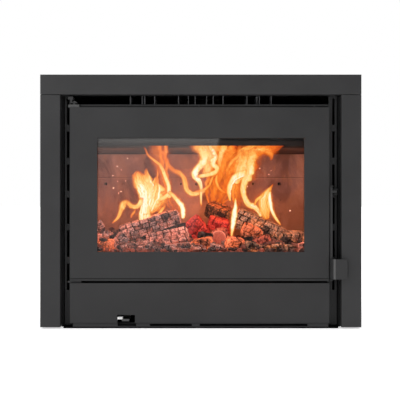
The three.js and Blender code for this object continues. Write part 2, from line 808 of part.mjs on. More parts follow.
// Hinges: the upper one hooks over the door's leaf, the lower one carries the door's weight
function makeHinges() {
  const armTop = doorTop + bracketRise;
  const armZ = [armTop - bracketArmHeight, armTop];
  const footBottom = doorTop + bracketFootRise;
  const footZ = [footBottom, footBottom + bracketFootHeight];
  const armX = [hingeX - bracketArmOuter, hingeX - bracketArmInner];
  const hookX = [armX[0] + bracketHookWidth, armX[0] + 2 * bracketHookWidth];
  const footY = [hingeDepth - bracketFootDepth / 2, hingeDepth + bracketFootDepth / 2];
  const arm = block(armX, [bracketHookFront, plateFront], armZ);
  const hook = block(hookX, [bracketHookFront, footY[1]], [footZ[0], armZ[1]]);
  const foot = block([hookX[0], hingeX + bracketFootReach], footY, footZ);
  const pinHole = (z) => uprightPin(hingeX, hingeDepth, pinRadius + seat, z);
  part("hinge_bracket_upper", cut(join(arm, hook, foot), pinHole(through(footZ))), bodySteel());

  const leafZ = [doorTop, doorTop + leafThickness];
  const leafLeft = doorLeft - leafOverhang;
  const leafRight = hingeX + leafReach;
  const leaf = new THREE.Shape();
  leaf.moveTo(leafLeft, leafFront);
  leaf.lineTo(leafRight, leafFront);
  leaf.lineTo(leafRight, hingeDepth);
  leaf.absarc(hingeX, hingeDepth, leafRoundRadius, 0, Math.PI);
  leaf.lineTo(leafLeft, hingeDepth);
  const leafHole = circle(hingeX, hingeDepth, pinHoleRadius);
  part("hinge_leaf_upper", flat(leaf, leafZ, [leafHole], roundSteps), brightSteel());
  const collarZ = [leafZ[1] + seat, leafZ[1] + seat + pinCollarHeight];
  const upperPin = join(
    uprightPin(hingeX, hingeDepth, pinRadius, [doorTop - pinUpperSink, doorTop + pinUpperRise]),
    uprightPin(hingeX, hingeDepth, pinCollarRadius, collarZ),
  );
  part("hinge_pin_upper", upperPin, brightSteel());

  const lowBottom = panelTop + lowerBracketGap;
  const lowZ = [lowBottom, lowBottom + lowerBracketHeight];
  const lowRight = hingeX + lowerLeafReach;
  const lowPlate = block([armX[0], lowRight], [lowerBracketFront, plateFront], lowZ);
  part("hinge_bracket_lower", cut(lowPlate, pinHole(through(lowZ))), bodySteel());
  const lowerPin = join(
    uprightPin(hingeX, hingeDepth, pinRadius, [lowZ[0], doorBottom + pinLowerRise]),
    uprightPin(hingeX, hingeDepth, pinWasherRadius, [lowZ[1], lowZ[1] + pinWasherThickness]),
  );
  part("hinge_pin_lower", lowerPin, brightSteel());
  const lowLeafZ = [doorBottom + doorSheet, doorBottom + doorSheet + lowerLeafThickness];
  const lowLeafX = [doorLeft + doorSheet + seat, lowRight];
  const lowLeaf = rectangle(lowLeafX, [doorSheet + seat, doorDepth - backFrameSheet - overrun / 2]);
  const lowHole = circle(hingeX, hingeDepth, pinHoleRadius);
  part("hinge_leaf_lower", flat(lowLeaf, lowLeafZ, [lowHole], roundSteps), bodySteel());
}

// Door: a folded front, a back frame that carries the rope seal, and the glass between retainers
function makeDoor() {
  const x = [doorLeft, doorRight];
  const z = [doorBottom, doorTop];
  const windowX = across(windowHalf);
  const windowZ = [windowBottom, windowTop];
  const skin = new THREE.Shape();
  skin.moveTo(x[0], doorDepth);
  skin.lineTo(x[0], doorSheet);
  skin.absarc(x[0] + doorSheet, doorSheet, doorSheet, Math.PI, 1.5 * Math.PI);
  skin.absarc(x[1] - doorSheet, doorSheet, doorSheet, 1.5 * Math.PI, 2 * Math.PI);
  skin.lineTo(x[1], doorDepth);
  const inside = block(
    [x[0] + doorSheet, x[1] - doorSheet],
    [doorSheet, doorDepth + overrun],
    [z[0] + doorSheet, z[1] - doorSheet],
  );
  const opening = block(windowX, [-overrun, doorSheet + overrun], windowZ);
  const pinWay = uprightPin(hingeX, hingeDepth, pinClearRadius, through(z));
  part("door_front", cut(flat(skin, z), inside, opening, pinWay), paintedSteel());

  const ring = (rx, rz, width, y, name, material) => {
    const hole = rectangle([rx[0] + width, rx[1] - width], [rz[0] + width, rz[1] - width]);
    part(name, upright(rectangle(rx, rz), y, [hole]), material);
  };
  const glassX = grown(windowX, glassOverlap);
  const glassZ = grown(windowZ, glassOverlap);
  const sealY = [doorSheet, doorSheet + glassSealThickness];
  ring(glassX, glassZ, glassSealWidth, sealY, "glass_seal", seamRope());
  const glassY = [sealY[1] + seat, sealY[1] + seat + glassThickness];
  part("door_glass", block(glassX, glassY, glassZ), clearGlass());

  const retainerBack = glassY[1] + seat + retainerSheet;
  const retainer = (edge, up) => [
    [doorSheet, edge + up * seat],
    [doorSheet, edge + up * retainerFoot],
    [retainerBack, edge + up * retainerFoot],
    [retainerBack, edge - up * retainerReach],
    [retainerBack - retainerSheet, edge - up * retainerReach],
    [retainerBack - retainerSheet, edge + up * seat],
  ];
  const retainerX = across(windowHalf - retainerInset);
  part("glass_retainer_top", profileBar(retainer(glassZ[1], 1), retainerX), bodySteel());
  part("glass_retainer_bottom", profileBar(retainer(glassZ[0], -1), retainerX), bodySteel());

  const frameY = [doorDepth - seat - backFrameSheet, doorDepth - seat];
  const frameX = [x[0] + doorSheet + seat, x[1] - doorSheet - seat];
  const frameZ = [z[0] + doorSheet + seat, z[1] - doorSheet - seat];
  const openX = across(fireHalf - backFrameOverlap);
  const openZ = [fireBottom + backFrameOverlap, fireTop - backFrameOverlap];
  const backOpening = rectangle(openX, openZ);
  part("door_back_frame", upright(rectangle(frameX, frameZ), frameY, [backOpening]), bodySteel());
  const ropeX = across(fireHalf + doorSealInset + doorSealWidth);
  const ropeZ = grown([fireBottom, fireTop], doorSealInset + doorSealWidth);
  ring(ropeX, ropeZ, doorSealWidth, [frameY[1], plateFront - seat], "door_seal", seamRope());
}

// Latch: a bar that turns in two lugs on the door's edge, with a tongue and a bent tab handle
function makeLatch() {
  const barZ = [barBottom, barTop];
  const lugY = [barCentreDepth - lugDepth / 3, barCentreDepth + lugDepth];
  const lugX = [doorRight, doorRight + lugWidth];
  const lugHole = (z) => uprightPin(barCentreX, barCentreDepth, lugHoleRadius, z);
  const highLug = [barTop + lugGap, barTop + lugGap + lugHeight];
  const lowLug = [barBottom - lugGap - lugHeight, barBottom - lugGap];
  for (const [name, z] of [["latch_lug_upper", highLug], ["latch_lug_lower", lowLug]]) {
    const hole = lugHole(through(z));
    part(name, cut(block(lugX, lugY, z), hole), bodySteel());
  }

  const barX = [barCentreX - barWidth / 2, barCentreX + barWidth / 2];
  const barY = [barCentreDepth - barDepth / 2, barCentreDepth + barDepth / 2];
  const tongueX = [barCentreX + tongueInner, barCentreX + tongueOuter];
  const tongueZ = [tongueBottom, tongueBottom + tongueHeight];
  const bar = join(
    block(barX, barY, barZ),
    uprightPin(barCentreX, barCentreDepth, barPinRadius, [lowLug[0] + lugGap, highLug[1] - lugGap]),
    block([barCentreX, tongueX[1]], [barY[0] + seat, barY[1] - seat], tongueZ),
    block(tongueX, [barY[0] + seat, tongueReach], tongueZ),
  );
  part("latch_bar", bar, paintedSteel());

  const bendBack = tabFront + tabSheet;
  const bendX = barCentreX + tabBendReach;
  const tabRight = barCentreX + tabReach;
  const bend = outline([
    [barCentreX - tabSheet / 2, barY[0]],
    [barX[1] - tabSheet / 2, barY[0]],
    [bendX, bendBack],
    [tabRight, bendBack],
    [tabRight, tabFront],
    [bendX - tabSheet / 2, tabFront],
    [barCentreX - tabSheet / 2, barY[0] - tabSheet / 2],
  ]);
  const tabZ = [barBottom, barBottom + tabHeight];
  const tab = flat(bend, tabZ);
  const rounded = outline([[barX[0] - overrun, tabZ[0]], [barCentreX, tabZ[0]]]);
  rounded.absarc(tabRight - tabCorner, tabZ[0] + tabCorner, tabCorner, 1.5 * Math.PI, 2 * Math.PI);
  rounded.absarc(tabRight - tabCorner, tabZ[1] - tabCorner, tabCorner, 0, 0.5 * Math.PI);
  rounded.lineTo(barX[0] - overrun, tabZ[1]);
  part("handle_tab", shared(tab, upright(rounded, [tabFront - overrun, barY[1]])), paintedSteel());

  const backY = [plateFront - keeperSheet, plateFront];
  const cheekY = [keeperReach, plateFront];
  const keeperX = [tongueX[0], tongueX[0] + keeperWidth];
  const lowCheek = [tongueZ[0] - keeperPlay - keeperSheet, tongueZ[0] - keeperPlay];
  const highCheek = [tongueZ[1] + keeperPlay, tongueZ[1] + keeperPlay + keeperSheet];
  const keeper = join(
    block(keeperX, backY, [lowCheek[0] - keeperFoot, highCheek[1] + keeperHead]),
    block(keeperX, cheekY, lowCheek),
    block(keeperX, cheekY, highCheek),
  );
  part("latch_keeper", keeper, bodySteel());
}

// Logs: split billets with uneven sides, each cut back from the ones laid before it
const logOutlineShares = [
  [-0.5, -0.3],
  [-0.22, -0.5],
  [0.28, -0.48],
  [0.5, -0.2],
  [0.46, 0.26],
  [0.18, 0.5],
  [-0.2, 0.46],
  [-0.48, 0.22],
];

function logSolid({ at, size, turns }, grow) {
  const [pitch, yaw, roll] = turns.map((turn) => turn * degree);
  const hearthWidth = 2 * hearthHalf;
  const [length, depth, height] = size.map((share) => share * hearthWidth + 2 * grow);
  const place = [
    at[0] * hearthWidth,
    hearthFront + at[1] * (hearthBack - hearthFront),
    hearthTop + at[2] * hearthWidth,
  ];
  const section = outline(logOutlineShares.map(([a, b]) => [a * depth, b * height]));
  const billet = extruded(section, length)
    .translate(0, 0, -length / 2)
    .applyMatrix4(new THREE.Matrix4().makeBasis(
      new THREE.Vector3(0, 1, 0),
      new THREE.Vector3(0, 0, 1),
      new THREE.Vector3(1, 0, 0),
    ))
    .rotateX(roll)
    .rotateY(-pitch)
    .rotateZ(yaw)
    .translate(...place);
  return solidOf(billet);
}

// The bed of embers: low lumps all over, heaped up at the left end
function emberRise(x, y) {
  const broad = Math.sin(x / emberLumpWidth) * Math.cos(y / emberLumpDepth);
  const small = Math.sin((x + y) / emberCoalWidth);
  const fromLeft = (x + emberHalf) / emberHeapReach;
  return emberRelief * broad + emberCoalRelief * small + emberLeftHeap * Math.exp(-(fromLeft ** 2));
}

function emberSolid() {
  const low = hearthTop + seat;
  const depth = emberBack - emberFront;
  const bed = new THREE.BoxGeometry(2 * emberHalf, depth, emberHeight, emberColumns, emberRows, 1);
  bed.translate(0, emberFront + depth / 2, low + emberHeight / 2);
  const place = bed.getAttribute("position");
  for (let i = 0; i < place.count; i += 1) {
    if (place.getZ(i) > low + emberHeight / 2) {
      place.setZ(i, place.getZ(i) + emberRise(place.getX(i), place.getY(i)));
    }
  }
  return solidOf(bed);
}

function makeFire() {
  const laid = [];
  let bed = emberSolid();
  for (const log of logShares) {
    const clear = laid.reduce((left, other) => left.subtract(logSolid(other, logBite)), logSolid(log, 0));
    part(log.name, geometryOf(clear), charredWood());
    bed = bed.subtract(logSolid(log, logBite));
    laid.push(log);
  }
  part("ember_bed", geometryOf(bed), embers());
}

makeSurround();
makeCasing();
makeFrontPlate();
makeHeaderLip();
makeLowerPanel();
makeBottomStrip();
makeFirebox();
makeLining();
makeGrateAndPan();
makeBaffleAndDeflector();
makeFlueAndFins();
makeAirControl();
makeHinges();
makeDoor();
makeLatch();
makeFire();

export default fireplace;
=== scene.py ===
# A built-in wood-burning fireplace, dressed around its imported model. Metres, +Z up, the front faces -Y.

import math
import random

import bmesh
import bpy
from mathutils import Matrix, Vector, noise


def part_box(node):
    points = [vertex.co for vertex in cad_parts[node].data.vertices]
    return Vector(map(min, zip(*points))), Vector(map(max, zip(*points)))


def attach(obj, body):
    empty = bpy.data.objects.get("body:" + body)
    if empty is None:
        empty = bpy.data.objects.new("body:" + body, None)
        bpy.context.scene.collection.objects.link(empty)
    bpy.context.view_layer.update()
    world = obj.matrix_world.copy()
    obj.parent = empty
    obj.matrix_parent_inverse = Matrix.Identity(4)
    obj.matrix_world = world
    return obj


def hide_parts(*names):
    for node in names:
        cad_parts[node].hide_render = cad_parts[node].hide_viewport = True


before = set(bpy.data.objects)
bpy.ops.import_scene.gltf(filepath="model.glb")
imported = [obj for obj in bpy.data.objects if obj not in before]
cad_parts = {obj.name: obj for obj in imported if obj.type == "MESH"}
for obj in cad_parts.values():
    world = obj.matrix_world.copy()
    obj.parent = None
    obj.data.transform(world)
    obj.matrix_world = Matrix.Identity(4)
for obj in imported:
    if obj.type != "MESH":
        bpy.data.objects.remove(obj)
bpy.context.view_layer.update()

# The view
# The camera stands level in front of the window, 1.65 m before the surround, and sees 1 m of its face.
front_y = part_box("surround_top")[0].y
camera_distance = 1.65
camera_height = 0.322
camera_x = -0.002
view_width = 1.0
camera_data = bpy.data.cameras.new("camera")
camera_data.sensor_width = 36
camera_data.lens = camera_data.sensor_width * camera_distance / view_width
camera = bpy.data.objects.new("camera", camera_data)
camera.location = (camera_x, front_y - camera_distance, camera_height)
camera.rotation_euler = (math.pi / 2, 0, 0)
bpy.context.scene.collection.objects.link(camera)
bpy.context.scene.camera = camera
bpy.context.scene.view_settings.view_transform = "Standard"
bpy.context.scene.cycles.transparent_max_bounces = 64
bpy.context.scene.cycles.use_denoising = True

# The room
# A pale floor under an even white sky. Neither is part of the fireplace.
floor_reach = 30
floor_white = 0.97
floor_lift = 0.45
sky_strength = 1.0


def add_mesh(name, mesh, finish, smooth=True):
    """Makes an object of a bmesh, with its place in the mesh."""
    data = bpy.data.meshes.new(name)
    mesh.to_mesh(data)
    mesh.free()
    if smooth:
        data.shade_smooth()
    data.materials.append(finish)
    made = bpy.data.objects.new(name, data)
    bpy.context.scene.collection.objects.link(made)
    return made


class Tone:
    """A socket in a finish's node tree. Arithmetic on tones adds Math nodes."""

    def __init__(self, tree, socket=None):
        self.tree = tree
        self.socket = socket

    def make(self, kind, settings=None, inputs=None, output=0):
        """Adds a node: its settings first, then the values or links of its sockets."""
        node = self.tree.nodes.new("ShaderNode" + kind)
        for name, value in (settings or {}).items():
            if name == "stops":
                while len(node.color_ramp.elements) < len(value):
                    node.color_ramp.elements.new(1)
                for stop, (place, colour) in zip(node.color_ramp.elements, value):
                    stop.position = place
                    stop.color = (*colour, 1)
            else:
                setattr(node, name, value)
        for name, value in (inputs or {}).items():
            if isinstance(value, Tone):
                self.tree.links.new(value.socket, node.inputs[name])
            else:
                node.inputs[name].default_value = value
        return Tone(self.tree, node.outputs[output])

    def beside(self, output):
        """Another output of the same node."""
        return Tone(self.tree, self.socket.node.outputs[output])

    def math(self, operation, *values, clamp=False):
        inputs = dict(enumerate(values))
        return self.make("Math", {"operation": operation, "use_clamp": clamp}, inputs)

    def __add__(self, other):
        return self.math("ADD", self, other)

    __radd__ = __add__

    def __sub__(self, other):
        return self.math("SUBTRACT", self, other)

    def __rsub__(self, other):
        return self.math("SUBTRACT", other, self)

    def __mul__(self, other):
        return self.math("MULTIPLY", self, other)

    __rmul__ = __mul__

    def __truediv__(self, other):
        return self.math("DIVIDE", self, other)

    def __pow__(self, other):
        return self.math("POWER", self, other)

    def clamped(self):
        return self.math("ADD", self, 0.0, clamp=True)

    def vector(self, operation, *values, output="Vector"):
        return self.make("VectorMath", {"operation": operation}, dict(enumerate(values)), output)

    def axis(self, letter):
        """One coordinate of this place; beside() gives the others."""
        return self.make("SeparateXYZ", {}, {"Vector": self}, letter)

    def mark(self, name):
        """A number that the mesh carries at each of its points."""
        return self.make("Attribute", {"attribute_name": name}, output="Fac")

    def bump(self, strength, distance):
        """The normal of a surface that stands out where this tone is high."""
        return self.make("Bump", {}, {"Strength": strength, "Distance": distance, "Height": self})

    def between(self, low, high):
        """0 below low, 1 above high, smooth between them."""
        inputs = {"Value": self, "From Min": low, "From Max": high}
        return self.make("MapRange", {"interpolation_type": "SMOOTHSTEP"}, inputs)

    def within(self, low, high, soft):
        """1 between two values and 0 outside them, with an edge of one width inside each."""
        return self.between(low, low + soft) * (1 - self.between(high - soft, high))

    def blend(self, first, second):
        """The first colour where this tone is 0, the second where it is 1."""
        colours = [c if isinstance(c, Tone) else (*c, 1) for c in (first, second)]
        return self.make("Mix", {"data_type": "RGBA"}, {0: self, 6: colours[0], 7: colours[1]}, 2)

    def noise(self, scale, detail=3, roughness=0.5, distortion=0.0, stretch=(1, 1, 1)):
        """Fractal noise over this place, stretched along its axes."""
        place = self.make("Mapping", {}, {"Vector": self, "Scale": stretch})
        inputs = {"Vector": place, "Scale": scale, "Detail": detail, "Roughness": roughness}
        return self.make("TexNoise", {}, inputs | {"Distortion": distortion})

    def cells(self, scale, feature="F1", stretch=(1, 1, 1)):
        """Distance to the nearest of a crowd of points, or to the edge between two."""
        place = self.make("Mapping", {}, {"Vector": self, "Scale": stretch})
        return self.make("TexVoronoi", {"feature": feature}, {"Vector": place, "Scale": scale})


def new_finish(name, **constants):
    """A material with a Principled shader: returns it, its place in space and a way to plug tones in."""
    material = bpy.data.materials.new(name)
    material.use_nodes = True
    tree = material.node_tree
    shader = tree.nodes["Principled BSDF"]
    for socket, value in constants.items():
        shader.inputs[socket.replace("_", " ")].default_value = value
    place = Tone(tree).make("TexCoord", output="Object")

    def plug(**tones):
        for socket, tone in tones.items():
            tree.links.new(tone.socket, shader.inputs[socket.replace("_", " ")])

    return material, place, plug


floor_mesh = bmesh.new()
bmesh.ops.create_grid(floor_mesh, x_segments=1, y_segments=1, size=floor_reach)
floor_finish, _, _ = new_finish(
    "floor_white",
    Base_Color=(floor_white, floor_white, floor_white, 1),
    Roughness=1,
    Emission_Strength=floor_lift,
    Specular_IOR_Level=0,
)
add_mesh("floor", floor_mesh, floor_finish)

sky = bpy.data.worlds.new("sky")
sky.use_nodes = True
sky.node_tree.nodes["Background"].inputs["Color"].default_value = (1, 1, 1, 1)
sky.node_tree.nodes["Background"].inputs["Strength"].default_value = sky_strength
bpy.context.scene.world = sky


# The studio light
# A card behind the camera, seen only in the gloss of the glass and paint: low, middle and high light from
# its foot to its top, and dark to the right of a slanted edge. A soft lamp at the upper left draws bent edges.
card_y = -2.0
card_half = 3.0
card_edge_low = Vector((-0.074, 0.059))
card_edge_high = Vector((0.09, 0.648))
card_bright_from = 0.625
card_levels = (0.3, 0.85, 1.25, 0.04)
card_blur = 0.02
lamp_place = Vector((-1.5, -1.6, 1.7))
lamp_aim = Vector((0, 0, 0.35))
lamp_width = 1.6
lamp_height = 0.9
lamp_watts = 2.6


def surface_of_its_own(name):
    """A material without the Principled shader: returns it, a first tone and a way to show a tone."""
    material = bpy.data.materials.new(name)
    material.use_nodes = True
    tree = material.node_tree
    tree.nodes.remove(tree.nodes["Principled BSDF"])

    def show(tone):
        tree.links.new(tone.socket, tree.nodes["Material Output"].inputs["Surface"])

    return material, Tone(tree).make("TexCoord", output="Object"), show


def put(mesh, turn, place):
    """Turns a mesh about the origin and carries it to its place."""
    bmesh.ops.rotate(mesh, matrix=turn, verts=mesh.verts)
    bmesh.ops.translate(mesh, vec=place, verts=mesh.verts)


card_mesh = bmesh.new()
bmesh.ops.create_grid(card_mesh, x_segments=1, y_segments=1, size=card_half)
put(card_mesh, Matrix.Rotation(math.pi / 2, 3, "X"), (0, card_y, 0))
card_finish, card_spot, show_card = surface_of_its_own("reflector_card")
card_x = card_spot.axis("X")
card_z = card_x.beside("Z")
edge_lean = (card_edge_high.x - card_edge_low.x) / (card_edge_high.y - card_edge_low.y)
past_edge = card_x - ((card_z - card_edge_low.y) * edge_lean + card_edge_low.x)
low, middle, high, dark = card_levels
card_level = card_z.between(card_edge_low.y, card_bright_from) * (middle - low) + low
top = card_z.between(card_bright_from - card_blur / 2, card_bright_from + card_blur / 2)
card_level = card_level + top * (high - middle)
shaded = past_edge.between(0, card_blur)
card_level = card_level * (1 - shaded) + shaded * dark
show_card(card_level.make("Emission", {}, {"Strength": card_level}))
card = add_mesh("reflector_card", card_mesh, card_finish)
card.visible_camera = card.visible_diffuse = card.visible_shadow = card.visible_transmission = False

lamp_data = bpy.data.lights.new("soft_lamp", "AREA")
lamp_data.shape = "RECTANGLE"
lamp_data.size = lamp_width
lamp_data.size_y = lamp_height
lamp_data.energy = lamp_watts
lamp = bpy.data.objects.new("soft_lamp", lamp_data)
lamp.location = lamp_place
lamp.rotation_euler = (lamp_aim - lamp_place).to_track_quat("-Z", "Y").to_euler()
bpy.context.scene.collection.objects.link(lamp)


# Painted sheet steel
# Every outer sheet has a matt heat-proof paint: a fine grain in the gloss, a faint cloudiness, and edges
# that the brake has rounded. Bent sheets are rounded copies of the construction's own solids.
paint_tint = (1, 1, 1.03)
fold_edge = 0.0007
painted_strip_edge = 0.002


def painted(name, shade, roughness, gloss=0.2, fold=None, painted_light_strips=(), behind=None):
    """A matt paint of one shade of grey, with its grain. fold is a pressed line between two heights, painted dark:
    painted shade in the line, which the bump sinks a little. painted_light_strips are strips along X, from, to
    and their shade: painted highlights where lighter, painted shadows where darker. behind is a depth and the
    shade past it."""
    material, place, plug = new_finish(name, Metallic=0.0, Specular_IOR_Level=gloss)
    broad = place.noise(7, 4, roughness=0.6)
    fine = place.noise(2600, 2)
    speck = place.noise(900, 3, roughness=0.7)
    dark, light = (tuple(shade * share * t for t in paint_tint) for share in (0.9, 1.1))
    colour = (broad * 0.7 + speck * 0.3).between(0.3, 0.7).blend(dark, light)
    height = fine * 0.6 + speck * 0.4
    across = place.axis("X")
    if behind:
        depth, shade_behind = behind
        scuff = place.noise(11, 6, roughness=0.75, stretch=(1, 1, 2.4)).between(0.52, 0.75)
        scuffed = scuff.blend((shade_behind * 0.85,) * 3, (shade_behind * 1.5,) * 3)
        colour = across.beside("Y").between(front_y + depth, front_y + depth + 0.004).blend(colour, scuffed)
    # The band between the two heights is painted near black: painted shade in a pressed line or under an overhang.
    if fold:
        line = across.beside("Z").within(*fold, fold_edge)
        colour = line.blend(colour, (shade * 0.12,) * 3)
        height = height - line * 3
    # Each strip takes its own shade: painted highlights where lighter, painted shadows where darker.
    for start, end, new_shade in painted_light_strips:
        strip = across.within(start, end, painted_strip_edge) * (speck * 0.5 + 0.7)
        colour = strip.clamped().blend(colour, (new_shade,) * 3)
    plug(Base_Color=colour, Roughness=broad * 0.1 + fine * 0.12 + (roughness - 0.11))
    plug(Normal=height.bump(0.16, 0.0002))
    return material


def round_edges(mesh, edges, radius, segments):
    bmesh.ops.bevel(
        mesh, geom=edges, offset=radius, offset_type="OFFSET", affect="EDGES", segments=segments, profile=0.5,
        material=-1, clamp_overlap=True,
    )


soft_bend = 25
front_bend = 40


def rounded_copy(node, radius, front):
    """The node's own solid, with its sharp edges rounded; those of its front face may have a radius of their own."""
    mesh = bmesh.new()
    mesh.from_mesh(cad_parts[node].data)
    bmesh.ops.remove_doubles(mesh, verts=mesh.verts, dist=1e-5)
    bmesh.ops.dissolve_limit(mesh, angle_limit=math.radians(1), verts=mesh.verts, edges=mesh.edges)
    if front:
        nearest = min(v.co.y for v in mesh.verts) + 1e-4
        fore = [e for e in mesh.edges if all(v.co.y < nearest for v in e.verts) and e.calc_face_angle(0) > 1]
        round_edges(mesh, fore, front, 3)
    least = math.radians(front_bend if front else soft_bend)
    sharp = [e for e in mesh.edges if len(e.link_faces) == 2 and e.calc_face_angle() > least]
    round_edges(mesh, sharp, radius, 2)
    return mesh


def add_piece(name, mesh, finish, body="cassette", node=None, smooth=True):
    """A finished piece: it takes a finish, rides on a body, and may stand for one of its nodes, which it hides."""
    piece = add_mesh(name, mesh, finish, smooth)
    if node:
        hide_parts(node)
    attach(piece, body)
    return piece


def dress(node, finish, body="cassette", radius=0.0, front=0.0):
    """Gives a node its finish, or stands a rounded copy in for it."""
    if radius == 0.0:
        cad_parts[node].data.materials.clear()
        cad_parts[node].data.materials.append(finish)
        return
    piece = add_piece(node + "_sheet", rounded_copy(node, radius, front), finish, body, node)
    piece.modifiers.new("crisp_faces", "WEIGHTED_NORMAL").keep_sharp = True


surround_paint = painted("surround_paint", 0.0325, 0.5)
door_paint = painted("door_paint", 0.0290, 0.52)
body_paint = painted("body_paint", 0.016, 0.6)
plate_paint = painted("plate_paint", 0.034, 0.6)
# Near black over the front 40 mm, a painted shade for the dark gaps round the front; past it a lighter grey with
# scuffs.
casing_paint = painted("casing_paint", 0.009, 0.6, gloss=0.12, behind=(0.040, 0.036))

# The casing
# A box of 2 mm sheet that lines the recess, with a flange all round its front that bears on the wall.
# It is folded and spot welded, and painted a matt dark grey; its front 40 mm is near black, a painted shade.
for node in ("casing_flange", "casing_left", "casing_right", "casing_back", "casing_top"):
    dress(node, casing_paint, radius=0.0005)
# The base is near black without gloss: painted shade along the casing's foot.
dress("casing_base", painted("base_painted_shade", 0.004, 0.75, gloss=0.0), radius=0.0005)

# The firebox and its air parts
# Welded 4 mm plate under the casing, with the air box, the channels and the collar on top.
for node in ("firebox_left", "firebox_right", "firebox_back", "firebox_top", "firebox_floor", "ash_pan"):
    dress(node, body_paint)
for node in ("air_box", "air_wash_deflector"):
    dress(node, body_paint, radius=0.0004)
dress("front_plate", plate_paint, radius=0.0004)
dress("warm_air_channels", painted("channel_zinc", 0.16, 0.45), radius=0.0003)
for node in ("hinge_bracket_upper", "hinge_bracket_lower", "latch_keeper"):
    dress(node, plate_paint, radius=0.0005)

# The lining
# Pale pressed mineral boards stand loose in the box and hold each other up; the floor board lies flat.
# The fire has browned them, with soot in drifts and paler scrubbed places low down.
air_stains = [((0.236, 0.118, 0.385), 0.080), ((0.150, 0.118, 0.375), 0.035), ((-0.012, 0.118, 0.370), 0.030)]
tile_joint = ((0.3874, 0.3886), (0.3890, 0.3900))
pale_band_heights = ((0.3846, 0.3856), (0.3868, 0.3876))
clean_board = (0.66, 0.335, 0.198)


def fire_board():
    material, place, plug = new_finish("fire_board", Specular_IOR_Level=0.15)
    drift = place.noise(6, 5, roughness=0.62, distortion=0.6)
    streak = place.noise(16, 4, stretch=(1, 1, 0.22))
    speck = place.noise(420, 4, roughness=0.75)
    rise = place.axis("Z")
    high = rise.between(board_low.z + 0.12, board_high.z)
    haze = place.noise(22, 4, roughness=0.65, stretch=(1, 1, 0.55))
    soot = (drift * 0.5 + streak * 0.25 + haze * 0.35 + high * 0.12).between(0.46, 0.74)
    for spot, reach in air_stains:
        far = place.vector("DISTANCE", place, spot, output="Value")
        near = 1 - (far / reach + drift * 0.9 - 0.45).between(0.2, 1.0)
        soot = soot + near * haze.between(0.38, 0.62) * 0.9
    soot = soot.clamped()
    clean = speck.blend(*(tuple(c * tone for c in clean_board) for tone in (0.82, 1.05)))
    joint, pale_band = (rise.between(*low) * (1 - rise.between(*high)) for low, high in (tile_joint, pale_band_heights))
    colour = (soot * 0.8).blend(clean, (0.34, 0.21, 0.205))
    smudge = place.noise(15, 5, roughness=0.6, distortion=0.7, stretch=(1, 1, 0.6))
    colour = (smudge.between(0.50, 0.68) * 0.6).blend(colour, (0.17, 0.085, 0.072))
    colour = ((1 - smudge).between(0.52, 0.70) * 0.45).blend(colour, (0.78, 0.47, 0.34))
    # A paler band just under the joint, along the lower board's top edge.
    colour = (pale_band * 0.14).blend(colour, (0.75, 0.48, 0.34))
    right_end = rise.beside("X").between(0.19, 0.285) * (1 - rise.between(0.30, 0.37))
    colour = (right_end * 0.55).blend(colour, (0.27, 0.105, 0.050))
    plug(Base_Color=(joint * 0.4).blend(colour, (0.05, 0.03, 0.03)))
    plug(Roughness=soot * 0.1 + 0.85)
    height = speck * 0.7 + place.noise(90, 3) * 0.3
    plug(Normal=height.bump(0.35, 0.0008))
    return material


board_low, board_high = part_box("lining_back_lower")
board_finish = fire_board()
for node in ("lining_left", "lining_right", "lining_back_lower", "lining_back_upper"):
    dress(node, board_finish, radius=0.0009)


def sooted_board():
    material, place, plug = new_finish("sooted_board", Specular_IOR_Level=0.1)
    drift = place.noise(14, 4, roughness=0.6)
    speck = place.noise(420, 4, roughness=0.75)
    plug(Base_Color=(drift * 0.7 + speck * 0.3).between(0.3, 0.75).blend((0.035, 0.022, 0.018), (0.10, 0.06, 0.045)))
    plug(Roughness=drift * 0.1 + 0.88)
    plug(Normal=speck.bump(0.35, 0.0008))
    return material


dress("baffle", sooted_board(), radius=0.0009)
dress("lining_floor", board_finish)

# The flue collar and the grate
# Cast iron, sand cast and blackened; the collar is bolted on the box's top by its flange.
def cast(name, shade):
    material, place, plug = new_finish(name, Metallic=0.5, Specular_IOR_Level=0.4)
    skin = place.noise(700, 4, roughness=0.7)
    cloud = place.noise(25, 4)
    plug(Base_Color=(skin * 0.5 + cloud * 0.5).between(0.3, 0.7).blend((shade * 0.7,) * 3, (shade * 1.4,) * 3))
    plug(Roughness=cloud * 0.15 + 0.62)
    plug(Normal=skin.bump(0.5, 0.0006))
    return material


cast_finish = cast("cast_iron", 0.028)
dress("flue_collar", cast_finish, radius=0.0007)
dress("grate", cast_finish)

# The logs
# Split billets, burnt to char that has cracked into blocks across the grain. Ash greys the blocks'
# faces, and where the log still burns the cracks glow. They lie on the embers and on each other.
block_length = 0.0205
block_width = 0.0125
block_rows = 13
log_step = 0.0014
log_crack = 0.0028
brand_crack = 0.0022
# A crack's half width, and how much it varies along the crack.
long_crack_width = (0.0012, 0.0008)
cross_crack_width = (0.0019, 0.0011)
fine_crack_width = 0.0008
fine_cracks = 2.6
# How far the blocks, the grain and the roughness stand out of the char.
block_rise = 0.0011
grain_rise = 0.00045
rough_rise = 0.0007
log_taper = 0.08
log_bend = 0.07
log_lump = 0.09
split_squareness = 0.82
round_squareness = 0.05
short_log = 0.055
short_log_cuts = 15
least_cuts = 13
sawn_end = 0.75
# Blender's noise_vector takes its start from the clock, unless it is given one.
char_start = 1795883453


